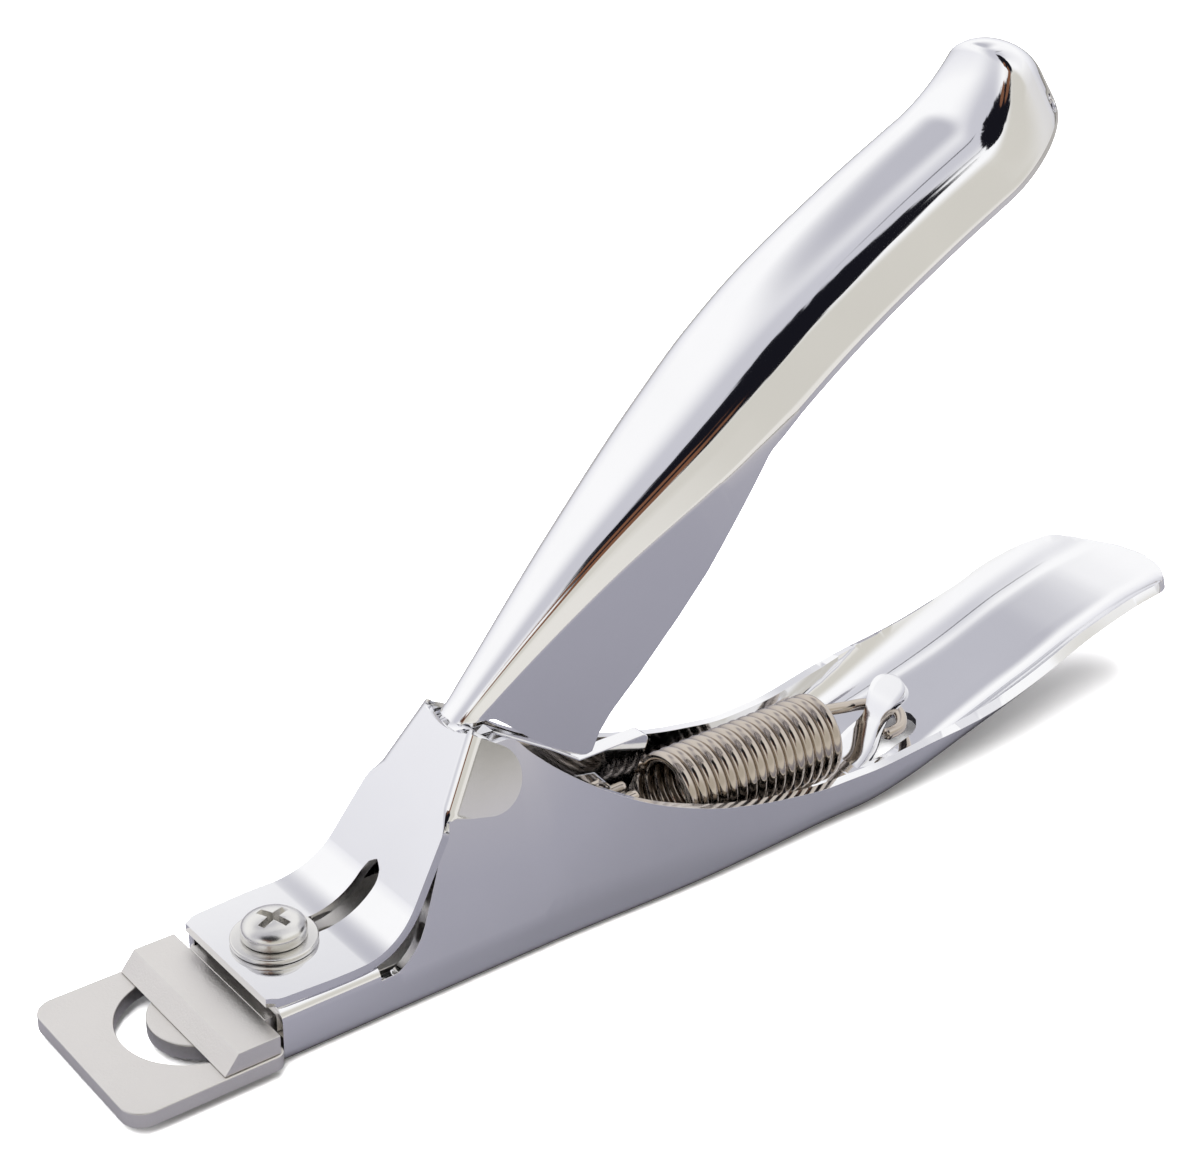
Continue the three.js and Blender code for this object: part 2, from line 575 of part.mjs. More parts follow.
function screwSolid() {
  const seat = COVER_TOP + RUN + WASHER_T + RUN;
  const crown = 1.75;
  const points = [
    [0, 0.2], [SCREW_R - 0.3, 0.2], [SCREW_R, 0.5], [SCREW_R, seat], [SCREW_HEAD_R, seat],
    [SCREW_HEAD_R, seat + 0.8],
  ].map(([r, z]) => new THREE.Vector2(r, z));
  for (let i = 1; i <= 6; i++) {
    const a = (i / 6) * (Math.PI / 2);
    points.push(new THREE.Vector2(SCREW_HEAD_R * Math.cos(a), seat + 0.8 + (crown - 0.8) * Math.sin(a)));
  }
  const body = toSolid(new THREE.LatheGeometry(points, 32).rotateX(Math.PI / 2)).translate([SCREW_X, 0, 0]);
  const arm = 1.45;
  const half = 0.28;
  const deep = seat + 0.75;
  const bar = boxSolid(SCREW_X - arm, SCREW_X + arm, -half, half, deep, deep + 4);
  const crossBar = boxSolid(SCREW_X - half, SCREW_X + half, -arm, arm, deep, deep + 4);
  return body.subtract(bar).subtract(crossBar);
}

// ---- return spring ----
function springSolid() {
  const turns = 16;
  const perTurn = 12;
  const wireHalf = SPRING_WIRE / 2;
  const meanR = SPRING_R - wireHalf;
  const points = [
    [17.6, SPRING_Y - 1.2, 7.9], [15.9, SPRING_Y - 1.2, 7.9], [14, SPRING_Y - 0.9, 7.9],
    [13.6, SPRING_Y + 0.4, 7.9], [14, SPRING_Y + 1.7, 7.9], [16, SPRING_Y + 2, 7.9],
    [18.4, SPRING_Y + 2.4, 7.8], [20.2, SPRING_Y + 2.95, 7.6],
  ].map(([x, y, z]) => new THREE.Vector3(x, y, z));
  const start = SPRING_X0 + wireHalf + 0.15;
  const run = SPRING_X1 - wireHalf - 0.15 - start;
  const count = turns * perTurn;
  for (let i = 0; i <= count; i++) {
    const a = THREE.MathUtils.degToRad(28) - (2 * Math.PI * i) / perTurn;
    const y = SPRING_Y + meanR * Math.cos(a);
    points.push(new THREE.Vector3(start + (run * i) / count, y, SPRING_Z + meanR * Math.sin(a)));
  }
  points.push(...[
    [42.2, SPRING_Y + 2.7, 6], [45.5, SPRING_Y + 2.4, 5.4], [48.8, SPRING_Y + 2.3, 4.8],
    [50.9, SPRING_Y, 4.7], [49.4, SPRING_Y - 2.3, 4.6], [46.8, SPRING_Y - 2.4, 4.4],
  ].map(([x, y, z]) => new THREE.Vector3(x, y, z)));
  const path = new THREE.CatmullRomCurve3(points, false, 'centripetal');
  const ring = new THREE.Shape();
  ring.absarc(0, 0, wireHalf, 0, Math.PI * 2);
  const steps = Math.round(points.length * 1.25);
  const options = { steps, bevelEnabled: false, extrudePath: path, curveSegments: 3 };
  return toSolid(new THREE.ExtrudeGeometry(ring, options));
}

// ---- assembly ----
const chrome = { color: 0xdfe1e6, roughness: 0.12, metalness: 1 };
const satin = { color: 0xb9b4aa, roughness: 0.45, metalness: 1 };
const nickel = { color: 0xb89f86, roughness: 0.25, metalness: 1 };
const zinc = { color: 0xd2cfca, roughness: 0.3, metalness: 1 };

const pieces = [
  ['lower_handle', lowerHandle().subtract(coverRoom()), chrome],
  ['upper_handle', upperHandle(), chrome],
  ['anvil_plate', anvilPlate(), satin],
  ['blade', bladeSolid(), satin],
  ['cover_plate', coverPlate(), chrome],
  ['cover_washer', washerSolid(), zinc],
  ['cover_screw', screwSolid(), zinc],
  ['pivot_pin', rodY(0, HINGE_Z, PIN_R, -PIN_HALF, PIN_HALF), zinc],
  ['return_spring', springSolid(), nickel],
];

const group = new THREE.Group();
for (const [name, solid, look] of pieces) {
  const mesh = new THREE.Mesh(toGeometry(solid), new THREE.MeshStandardMaterial(look));
  mesh.name = name;
  group.add(mesh);
}

export default group;
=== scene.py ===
"""Studio scene of a guillotine cutter for artificial nail tips.

The folded sheet pieces are modelled as trimmed surfaces with a real sheet thickness and rounded edges,
the plates as filled outlines, and the spring as wound wire. Lengths are millimetres in the CAD frame: +X
towards the grips, +Z up, the origin on the floor under the hinge axis.
"""
import math

import bmesh
import bpy
from mathutils import Matrix, Vector


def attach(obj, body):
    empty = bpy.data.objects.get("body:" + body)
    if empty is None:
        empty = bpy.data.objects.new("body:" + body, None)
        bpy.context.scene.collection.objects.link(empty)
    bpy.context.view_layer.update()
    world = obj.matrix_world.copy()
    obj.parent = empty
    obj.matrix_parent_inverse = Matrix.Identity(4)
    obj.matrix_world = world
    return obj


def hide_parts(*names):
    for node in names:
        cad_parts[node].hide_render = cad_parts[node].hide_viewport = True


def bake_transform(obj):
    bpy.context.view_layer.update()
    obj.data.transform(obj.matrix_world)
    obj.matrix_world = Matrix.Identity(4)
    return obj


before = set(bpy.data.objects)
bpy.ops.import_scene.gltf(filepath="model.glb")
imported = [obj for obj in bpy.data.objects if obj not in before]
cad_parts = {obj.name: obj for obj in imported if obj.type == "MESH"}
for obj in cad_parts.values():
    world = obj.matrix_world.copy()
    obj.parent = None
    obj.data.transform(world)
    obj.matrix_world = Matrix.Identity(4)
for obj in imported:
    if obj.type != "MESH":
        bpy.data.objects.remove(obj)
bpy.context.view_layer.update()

MM = 0.001
SHEET = 0.95             # thickness of both handles
COVER_SHEET = 0.8

HINGE_Z = 17
FRAME_FRONT = -22.1
FRAME_REAR = 86
TRAY_ROUND_START = 76
TRAY_RIM_HALF = 8.4
WALL_LEAN = 0.26         # inward lean of the walls, per height, from LEAN_FROM_Z up
LEAN_FROM_Z = 4.2
LEAN_FULL_X = 3.2        # the lean is full in front of here
LEAN_NONE_X = 21         # and gone behind here
WALL_MAX_Z = 21
WALL_SPARE = 1.2         # how far the walls are made past their outline before it is cut
NEAR_COVER_Z = 7         # the walls end under the cover above this height
COVER_GAP = 0.12
LIP_REAR = -12.9
LIP_TOP = 5.5
LIP_INNER_Y = 4.6
LIP_BEND = 1.3
WINDOW_X = (46.4, 50.6)  # centres of the round ends of the window that the tongue is cut from
WINDOW_HALF = 2.3
WINDOW_BELOW_Z = 6
TONGUE_HALF = 2.1
TONGUE_SHEET = 0.9

PLATE_FRONT = -36
PLATE_SHOULDER = -22.4
PLATE_REAR = -6
PLATE_HALF = 8.55
PLATE_Z = (1.0, 2.4)
PLATE_FRONT_R = 1.9
PLATE_BACK_R = 0.9
TANG_HALF = 5.8
CUT_X = -26              # the crescent lies between two circles, CUT and ISLAND
CUT_R = 6.2
ISLAND_X = -25.25
ISLAND_R = 4.35
CRESCENT_END = -24

BLADE_EDGE = -27.9
BLADE_SHOULDER = -22.9
BLADE_REAR = 6.5
BLADE_HALF = 8.35
BLADE_TAIL_HALF = 5.9
BLADE_Z = (2.45, 4.15)
BLADE_BEVEL = 1.3
BLADE_LAND = 0.06        # height of the flat left at the cutting edge
STROKE_ROOM = 5.5        # length of the tail's slot between its end centres

SCREW_X = -18.3
SCREW_R = 1.5
SCREW_HEAD_R = 2.7
SCREW_LOW_Z = 0.2
HEAD_SIDE = 0.75         # height of the head's straight side
HEAD_DOME = 1.0
THREAD_PITCH = 0.5
THREAD_DEPTH = 0.28
CROSS_TURN = 20          # degrees
WASHER_R = 3.6
WASHER_T = 0.5
SEAT_Z = 6.4

COVER_FRONT = -22.9
COVER_TOP = 6.35
COVER_KNEE = -10.8
COVER_SLOPE = math.radians(57.8)
COVER_BEND = 6.7
COVER_TOP_Z = 21.6
COVER_DIP = 20.7         # lowest point of the dip in the cover's top edge
DIP_CURVE = 0.05
DIP_HALF = 3             # outside this the edge climbs steeply to the ears
DIP_CLIMB = 6
COVER_SLOT_END = -9.5
COVER_SLOT_HALF = 1.15
COVER_SLOT_TOP_Z = 15    # nothing above this height is slotted
EAR_CUT_BEHIND = 0.12    # nearer to the slope's face than this, the ear's outline cuts nothing
EAR_CUT_ABOVE_Z = 9
EAR_LEAN = 0.42
EAR_LOW_Z = 15.3
EAR_FADE = 0.7           # the fold grows from this far below EAR_LOW_Z to this far above it
EAR_REACH = 9.5
EAR_X = -0.35
EAR_Z = 17.35
EAR_R = 2.9
EAR_ANGLES = (-101.5, 59.3)      # where the ear's round end meets its two straight edges
FOLD_R = 1.1
FOLD_TURN = math.radians(88)

SPRING_Y = -0.9
SPRING_Z = 5.45
SPRING_R = 4.2
SPRING_WIRE = 1.15
SPRING_X = (20.65, 40.35)
SPRING_TURNS = 16
COIL_START = math.radians(28)


# ---- helpers ----
def through(points):
    """A monotone smooth curve through a few given points."""
    slopes = [0.0] * len(points)
    for i in range(1, len(points) - 1):
        (xa, ya), (xb, yb), (xc, yc) = points[i - 1:i + 2]
        before = (yb - ya) / (xb - xa)
        after = (yc - yb) / (xc - xb)
        slopes[i] = 0 if before * after <= 0 else 2 * before * after / (before + after)

    def value(x):
        if x <= points[0][0]:
            return points[0][1]
        if x >= points[-1][0]:
            return points[-1][1]
        i = next(k for k, p in enumerate(points) if x <= p[0])
        (x0, y0), (x1, y1) = points[i - 1], points[i]
        h = x1 - x0
        t = (x - x0) / h
        rise = (2 * t**3 - 3 * t**2 + 1) * y0 + (3 * t**2 - 2 * t**3) * y1
        return rise + (t**3 - 2 * t**2 + t) * h * slopes[i - 1] + (t**3 - t**2) * h * slopes[i]

    return value


def steps(start, end, count):
    return [start + (end - start) * i / count for i in range(count + 1)]


def add_grid(bm, rows):
    """Adds a quad grid of (x, y, z) points to bm."""
    made = [[bm.verts.new(p) for p in row] for row in rows]
    for a, b in zip(made, made[1:]):
        for j in range(len(a) - 1):
            bm.faces.new((a[j], a[j + 1], b[j + 1], b[j]))


def merge(bm, other):
    """Moves all of other into bm."""
    mesh = bpy.data.meshes.new("merged")
    other.to_mesh(mesh)
    other.free()
    bm.from_mesh(mesh)
    bpy.data.meshes.remove(mesh)


def trim(bm, keep):
    """Cuts the surface along keep(x, y, z) == 0 and leaves only the part where it is positive."""
    sliver, shortest, degenerate = 0.1, 0.08, 0.01
    value = {v: keep(*v.co) for v in bm.verts}
    cuts = []
    for edge in list(bm.edges):
        a, b = edge.verts
        if value[a] * value[b] < 0:
            share = value[a] / (value[a] - value[b])
            _, vert = bmesh.utils.edge_split(edge, a, share)
            value[vert] = 0
            cuts.append(vert)
    bmesh.ops.connect_verts(bm, verts=cuts)
    outside = [f for f in bm.faces if sum(value[v] for v in f.verts) < 0]
    bmesh.ops.delete(bm, geom=outside, context='FACES')
    # no slivers beside the cut, which would spoil its rounding
    cuts = [v for v in cuts if v.is_valid]
    near = {}
    for vert in cuts:
        for edge in vert.link_edges:
            other = edge.other_vert(vert)
            if value[other] > 0 and edge.calc_length() < sliver:
                near[other] = vert
    bmesh.ops.weld_verts(bm, targetmap=near)
    bmesh.ops.remove_doubles(bm, verts=[v for v in cuts if v.is_valid], dist=shortest)
    bmesh.ops.dissolve_degenerate(bm, dist=degenerate, edges=bm.edges)


def join_sides(bm, low, high):
    """Joins the nearly flat side faces between two heights, so that their trimmed rims round evenly."""
    bm.normal_update()
    upright, flat = 0.93, math.radians(0.7)

    def on_side(part):
        return all(
            abs(face.normal.y) > upright and low < face.calc_center_median().z < high
            for face in part.link_faces)

    bmesh.ops.dissolve_limit(
        bm, angle_limit=flat, verts=[v for v in bm.verts if on_side(v)],
        edges=[e for e in bm.edges if e.is_manifold and on_side(e)])


def finish_object(name, bm, body, replaced, material, smooth=True):
    """Turns bm, in millimetres, into a piece in metres that rides a body."""
    bmesh.ops.scale(bm, vec=(MM, MM, MM), verts=bm.verts)
    mesh = bpy.data.meshes.new(name)
    bm.to_mesh(mesh)
    bm.free()
    for polygon in mesh.polygons:
        polygon.use_smooth = smooth
    piece = bpy.data.objects.new(name, mesh)
    bpy.context.scene.collection.objects.link(piece)
    mesh.materials.append(material)
    if body:
        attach(piece, body)
    if replaced:
        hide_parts(replaced)
    return piece


def soften(piece, width, segments=3, angle=35):
    """Rounds the edges that turn more than angle degrees."""
    bevel = piece.modifiers.new("rounded_edges", 'BEVEL')
    bevel.width = width * MM
    bevel.segments = segments
    bevel.limit_method = 'ANGLE'
    bevel.angle_limit = math.radians(angle)
    normals = piece.modifiers.new("even_normals", 'WEIGHTED_NORMAL')
    normals.keep_sharp = True
    return piece


def thicken(piece, thickness, side=-1):
    """Gives a surface its sheet thickness: -1 behind its faces, 1 before them, 0 half and half."""
    solid = piece.modifiers.new("sheet", 'SOLIDIFY')
    solid.thickness = thickness * MM
    solid.offset = side
    solid.use_even_offset = True
    solid.use_quality_normals = True
    return piece


def wire_mesh(bm, points, radius, sides=14):
    """A round wire along points, closed at both ends and a little thinner there."""
    end_size = 0.72
    normal = None
    rings = []
    for i, point in enumerate(points):
        ahead = (points[min(i + 1, len(points) - 1)] - points[max(i - 1, 0)]).normalized()
        if normal is None:
            normal = ahead.orthogonal().normalized()
        normal = (normal - ahead * normal.dot(ahead)).normalized()
        across = ahead.cross(normal)
        end = i in (0, len(points) - 1)
        size = radius * (end_size if end else 1)
        rings.append([
            bm.verts.new(point + size * (math.cos(a) * normal + math.sin(a) * across))
            for a in (2 * math.pi * k / sides for k in range(sides))
        ])
    for a, b in zip(rings, rings[1:]):
        for k in range(sides):
            bm.faces.new((a[k], a[(k + 1) % sides], b[(k + 1) % sides], b[k]))
    bm.faces.new(list(reversed(rings[0])))
    bm.faces.new(rings[-1])


def smooth_path(points, per_span=8):
    """Catmull-Rom curve through given points."""
    pts = [Vector(p) for p in points]
    padded = [2 * pts[0] - pts[1], *pts, 2 * pts[-1] - pts[-2]]
    path = []
    for a, b, c, d in zip(padded, padded[1:], padded[2:], padded[3:]):
        for k in range(per_span):
            t = k / per_span
            path.append(0.5 * (2 * b + (c - a) * t + (2 * a - 5 * b + 4 * c - d) * t**2
                               + (3 * b - a - 3 * c + d) * t**3))
    path.append(pts[-1])
    return path


def arc(cx, cy, radius, start, end, count=10):
    """Points round an arc, angles in degrees."""
    return [
        (cx + radius * math.cos(math.radians(a)), cy + radius * math.sin(math.radians(a)))
        for a in steps(start, end, count)
    ]


def plate_bmesh(outline, holes, z0, z1, edge):
    """A flat plate from plan outlines, with its edges rounded by edge."""
    curve = bpy.data.curves.new("outline", 'CURVE')
    curve.dimensions = '2D'
    curve.fill_mode = 'BOTH'
    curve.extrude = (z1 - z0) / 2 - edge
    curve.bevel_depth = edge
    curve.bevel_resolution = 2
    curve.offset = -edge
    for points in [outline, *holes]:
        spline = curve.splines.new('POLY')
        spline.points.add(len(points) - 1)
        for target, (x, y) in zip(spline.points, points):
            target.co = (x, y, 0, 1)
        spline.use_cyclic_u = True
    holder = bpy.data.objects.new("outline", curve)
    bpy.context.scene.collection.objects.link(holder)
    bpy.context.view_layer.update()
    mesh = bpy.data.meshes.new_from_object(holder.evaluated_get(bpy.context.evaluated_depsgraph_get()))
    bpy.data.objects.remove(holder)
    bm = bmesh.new()
    bm.from_mesh(mesh)
    bpy.data.meshes.remove(mesh)
    bmesh.ops.remove_doubles(bm, verts=bm.verts, dist=1e-4)
    bmesh.ops.translate(bm, vec=(0, 0, (z0 + z1) / 2), verts=bm.verts)
    return bm


def lathe(bm, profile, cx, cy, segments=72):
    """Turns (radius, z) points round a vertical axis; radius 0 closes on the axis."""
    rings = []
    for r, z in profile:
        if r == 0:
            rings.append([bm.verts.new((cx, cy, z))])
        else:
            angles = [2 * math.pi * k / segments for k in range(segments)]
            rings.append([bm.verts.new((cx + r * math.cos(a), cy + r * math.sin(a), z)) for a in angles])
    for a, b in zip(rings, rings[1:]):
        for k in range(segments):
            n = (k + 1) % segments
            if len(a) == 1 and len(b) > 1:
                bm.faces.new((a[0], b[n], b[k]))
            elif len(b) == 1 and len(a) > 1:
                bm.faces.new((a[k], a[n], b[0]))
            elif len(a) > 1:
                bm.faces.new((a[k], a[n], b[n], b[k]))


# ---- materials ----
def metal(name, colour, rough, rough_spread, bump, bump_scale, fleck=0.0):
    """Metal whose roughness, tone and surface vary a little, as plating and blasting do."""
    darkest = 1 - 0.06 - fleck
    relief_height = 0.00005
    material = bpy.data.materials.new(name)
    material.use_nodes = True
    nodes = material.node_tree.nodes
    links = material.node_tree.links
    shader = nodes["Principled BSDF"]
    shader.inputs["Metallic"].default_value = 1
    place = nodes.new("ShaderNodeTexCoord")
    wide = nodes.new("ShaderNodeTexNoise")
    wide.inputs["Scale"].default_value = 120
    wide.inputs["Detail"].default_value = 4
    links.new(place.outputs["Object"], wide.inputs["Vector"])
    fine = nodes.new("ShaderNodeTexNoise")
    fine.inputs["Scale"].default_value = bump_scale
    fine.inputs["Detail"].default_value = 3
    links.new(place.outputs["Object"], fine.inputs["Vector"])
    tone = nodes.new("ShaderNodeMix")
    tone.data_type = 'RGBA'
    tone.inputs["A"].default_value = (*colour, 1)
    tone.inputs["B"].default_value = (*(c * darkest for c in colour), 1)
    links.new(wide.outputs["Fac"], tone.inputs["Factor"])
    links.new(tone.outputs["Result"], shader.inputs["Base Color"])
    spread = nodes.new("ShaderNodeMapRange")
    spread.inputs["To Min"].default_value = rough - rough_spread
    spread.inputs["To Max"].default_value = rough + rough_spread
    links.new(wide.outputs["Fac"], spread.inputs["Value"])
    links.new(spread.outputs["Result"], shader.inputs["Roughness"])
    relief = nodes.new("ShaderNodeBump")
    relief.inputs["Strength"].default_value = bump
    relief.inputs["Distance"].default_value = relief_height
    links.new(fine.outputs["Fac"], relief.inputs["Height"])
    links.new(relief.outputs["Normal"], shader.inputs["Normal"])
    return material


CHROME = metal("chrome_sheet", (0.9, 0.9, 0.915), 0.06, 0.02, 0.03, 700)
SATIN = metal("satin_steel", (0.86, 0.835, 0.8), 0.4, 0.05, 0.35, 5200, 0.04)
ZINC = metal("zinc_plate", (0.8, 0.79, 0.77), 0.24, 0.05, 0.08, 2200)
NICKEL = metal("spring_wire", (0.56, 0.5, 0.44), 0.13, 0.04, 0.05, 2600)


# ---- lower handle ----
frame_half = through([(4, 7.4), (24, 8), (34, 8), (48, 8.7), (62, 9.95)])
frame_fillet = through([(8, 1.6), (44, 3.5), (62, 6.5)])
tray_floor = through([(40, 0), (46, 0.9), (54, 2.9), (62, 5.2), (70, 7.8), (78, 9.4), (FRAME_REAR, 10)])
wall_top = through([
    (-11.6, 4.4), (-10.1, 5.1), (-8.7, 6.4), (-7.3, 9), (-4.4, 14.9), (-2.4, 18.2), (-0.8, 19.3), (1.2, 19.6),
    (2.6, 19.55), (4.3, 17.9), (6.4, 16), (10.1, 13.3), (14.8, 10.6), (18.6, 9), (24, 7.2), (30, 5.8),
    (36, 5), (40, 4.98), (48, 5.8),
    (56, 6.6), (60, 7.3), (66, 8.8), (72, 10.5), (77, 11.2), (FRAME_REAR, 11.4),
])


def wall_lean(x):
    return WALL_LEAN * min(1, max(0, (LEAN_NONE_X - x) / (LEAN_NONE_X - LEAN_FULL_X)))


def frame_row(x, top):
    """Section of the handle at x: floor, fillet, then a wall up to top."""
    fillet = frame_fillet(x)
    flat = frame_half(x) - fillet
    base = tray_floor(x)
    half = [(flat * k / 4, base) for k in range(5)]
    for a in steps(0, math.pi / 2, 9)[1:]:
        half.append((flat + fillet * math.sin(a), base + fillet * (1 - math.cos(a))))
    lift = base + fillet
    low = max(lift + 0.05, LEAN_FROM_Z)
    half += [(frame_half(x), z) for z in steps(lift, low, 2)[1:]]
    for z in steps(low, max(top, low + 0.5), 12)[1:]:
        half.append((frame_half(x) - wall_lean(x) * max(0, z - LEAN_FROM_Z), z))
    return [(x, -y, z) for y, z in reversed(half[1:])] + [(x, y, z) for y, z in half]


def lip_row(x):
    """Section in front, where the walls turn inward over the plates as lips."""
    fillet = frame_fillet(x)
    flat = frame_half(x) - fillet
    half = [(flat * k / 4, 0) for k in range(5)]
    for a in steps(0, math.pi / 2, 9)[1:]:
        half.append((flat + fillet * math.sin(a), fillet * (1 - math.cos(a))))
    half += [(frame_half(x), z) for z in steps(fillet, LEAN_FROM_Z, 2)[1:]]
    centre_y, centre_z = frame_half(x) - LIP_BEND, LIP_TOP - LIP_BEND
    for a in steps(0, math.pi / 2, 8)[1:]:
        half.append((centre_y + LIP_BEND * math.cos(a), centre_z + LIP_BEND * math.sin(a)))
    half += [(y, LIP_TOP) for y in steps(centre_y, LIP_INNER_Y, 3)[1:]]
    return [(x, -y, z) for y, z in reversed(half[1:])] + [(x, y, z) for y, z in half]


def under_cover_x(z):
    """Where the cover's underside is at height z, on its slope."""
    behind_top = (COVER_SHEET + COVER_GAP) / math.sin(COVER_SLOPE)
    return COVER_KNEE + (z - COVER_TOP) / math.tan(COVER_SLOPE) + behind_top


def tray_outline(x):
    """Half width of the tray in plan; wide open before its rounded tip."""
    t = max(0, (x - TRAY_ROUND_START) / (FRAME_REAR - TRAY_ROUND_START))
    return TRAY_RIM_HALF * math.sqrt(max(0, 1 - t * t)) if t > 0 else 20


def build_lower_handle():
    bm = bmesh.new()
    add_grid(bm, [lip_row(x) for x in steps(FRAME_FRONT, LIP_REAR, 12)])
    stations = steps(LIP_REAR, 6, 36) + steps(6, TRAY_ROUND_START, 90)[1:]
    stations += steps(TRAY_ROUND_START, FRAME_REAR, 24)[1:]
    rear = bmesh.new()
    add_grid(rear, [frame_row(x, min(WALL_MAX_Z, wall_top(max(x, 0)) + WALL_SPARE)) for x in stations])
    trim(rear, lambda x, y, z: wall_top(x) - z)
    trim(rear, lambda x, y, z: x - under_cover_x(z) if z > NEAR_COVER_Z else 1)
    trim(rear, lambda x, y, z: tray_outline(x) - abs(y))
    window_front, window_rear = WINDOW_X
    trim(rear, lambda x, y, z: max(
        math.hypot(max(0, window_front - x, x - window_rear), y - SPRING_Y) - WINDOW_HALF,
        z - WINDOW_BELOW_Z))
    merge(bm, rear)
    bmesh.ops.remove_doubles(bm, verts=bm.verts, dist=0.02)
    join_sides(bm, LEAN_FROM_Z + 0.3, HINGE_Z + 5)
    piece = finish_object("lower_handle_sheet", bm, "frame", "lower_handle", CHROME)
    thicken(piece, SHEET)
    return soften(piece, 0.2)


def build_tongue():
    """The lanced tongue that the spring hooks onto: flat strip, waist and round head."""
    line = smooth_path([
        (42.6, 0, 0.75), (44.2, 0, 1.1), (46, 0, 2.6), (47.6, 0, 4.4), (48.9, 0, 6.6), (50.6, 0, 8.1),
    ])
    waist_depth, waist_at, waist_length = 0.42, 0.62, 0.16
    head_at, head_length = 0.86, 0.14
    bm = bmesh.new()
    rows = []
    last = len(line) - 1
    for i, p in enumerate(line):
        t = i / last
        waist = 1 - waist_depth * math.exp(-((t - waist_at) / waist_length) ** 2)
        tip = math.sqrt(max(0.02, 1 - ((t - head_at) / head_length) ** 2)) if t > head_at else 1
        half = TONGUE_HALF * waist * tip
        rows.append([(p.x, SPRING_Y + half * k / 3, p.z) for k in range(-3, 4)])
    add_grid(bm, rows)
    piece = finish_object("spring_tongue", bm, "frame", None, CHROME)
    thicken(piece, TONGUE_SHEET, side=0)
    return soften(piece, 0.2)


# ---- upper handle ----
LEVER_LINE = smooth_path([
    (-3.2, 0, 17.6), (1.6, 0, 22.4), (12, 0, 31.4), (23.3, 0, 39.8), (33.8, 0, 47.9), (43.8, 0, 54),
    (53.8, 0, 59.3), (62.3, 0, 63.95),
], 24)
lever_half = through([
    (-3.2, 2.05), (0, 2.05), (1.6, 2.3), (12, 4.5), (23.5, 7.1), (29, 7.75), (36, 7.9),
])
GRIP_RISE = 0.56         # crown height over half width
FLANK_IN = 0.22          # how far the flat flank leans in, over half width
FLANK_RISE = 0.33        # and how high it climbs
TIP_SWELL = 3.45         # extra crown height just before the tip
SWELL_FROM = 12          # it starts this far from the end
SWELL_OVER = 7           # and is full this much later
TIP_RUN = 9              # the last stretch, whose sections are closer together
LEG_FLARE = 0.05
LEG_DEPTH = 15
LEG_END = 25.5           # the deep side plates end here, and only a low rim goes on
LEG_TOP_Z = 38
RIM_DEPTH = 0.6
TIP_TAPER = 12.5
NOSE_ROUND = 5
HANG_R = 0.85
HANG_AT = (59.8, -4.1, 63.7)
HANG_AXIS = (0.44, -0.75, 0.5)
HANG_NEAR = 4            # the hole's axis cuts only the sheet within this distance
HUB_BORE = 1.15
HUB_R = 2.6
HUB_HALF = 2.1
HUB_CHAMFER = 0.2
SIDE_CUT_X = LEG_END + 6   # the side outline cuts only in front of here or below the height
SIDE_CUT_Z = 40
SIDE_PLATE = [
    (26, 40.6), (25.1, 38.8), (23.4, 35.5), (20.9, 30.5), (18.5, 26.5), (15.4, 21.9), (12.9, 18.6),
    (11.9, 16.8), (11.3, 14.9), (10.6, 14.9), (8.8, 15.7), (6.3, 17.4), (4.6, 18.8), (2.9, 20.3),
    (1.7, 21.2), (-1.35, 21.15),
]


def dome(half, rise):
    """Half section of the grip from its rim to its crown: a flat flank, a tight bend, then a flatter top."""
    low = Vector((half * (1 - FLANK_IN), rise * FLANK_RISE / GRIP_RISE))
    corner = Vector((half * (1 - FLANK_IN * GRIP_RISE / FLANK_RISE), rise))
    top = Vector((0, rise))
    points = [Vector((half, 0)).lerp(low, k / 5) for k in range(5)]
    a, b = low.lerp(corner, 0.8), top.lerp(corner, 0.55)
    for t in steps(0, 1, 14):
        points.append(low * (1 - t)**3 + a * 3 * t * (1 - t)**2 + b * 3 * t * t * (1 - t) + top * t**3)
    return points


def off_hang_hole(x, y, z):
    """Distance outside the hanging hole through the tip."""
    axis = Vector(HANG_AXIS).normalized()
    reach = Vector((x, y, z)) - Vector(HANG_AT)
    return 1 if reach.length > HANG_NEAR else (reach - axis * reach.dot(axis)).length - HANG_R


def lever_rows():
    """Sections across the lever along its line, closer together towards the tip."""
    total = sum((b - a).length for a, b in zip(LEVER_LINE, LEVER_LINE[1:]))
    rows = []
    run = 0
    stations = [p for p in LEVER_LINE if p.x < LEVER_LINE[-1].x - TIP_RUN]
    stations += [LEVER_LINE[-1].lerp(stations[-1], (1 - t) ** 1.7) for t in steps(0, 1, 40)[1:]]
    for i, p in enumerate(stations):
        if i:
            run += (p - stations[i - 1]).length
        ahead = (stations[min(i + 1, len(stations) - 1)] - stations[max(i - 1, 0)]).normalized()
        to_end = total - run
        narrow = max(0.05, math.sqrt(1 - max(0, 1 - to_end / TIP_TAPER) ** 1.7))
        nose = max(0.15, math.sqrt(1 - max(0, 1 - to_end / NOSE_ROUND) ** 2))
        half = lever_half(p.x) * narrow
        swell = TIP_SWELL * min(1, max(0, (SWELL_FROM - to_end) / SWELL_OVER)) ** 2
        rise = (lever_half(p.x) * GRIP_RISE + swell) * nose
        depth = LEG_DEPTH if p.x < LEG_END + 3 else RIM_DEPTH

        def place(y, n):
            return (p.x - ahead.z * n, y, p.z + ahead.x * n)

        legs = [(half + LEG_FLARE * depth * k, -depth * k) for k in steps(1, 0, 12)[:-1]]
        row = [place(y, n) for y, n in legs]
        crown = dome(half, rise)
        row += [place(y, n) for y, n in crown] + [place(-y, n) for y, n in reversed(crown[:-1])]
        row += [place(-y, n) for y, n in reversed(legs)]
        rows.append(row)
    return rows


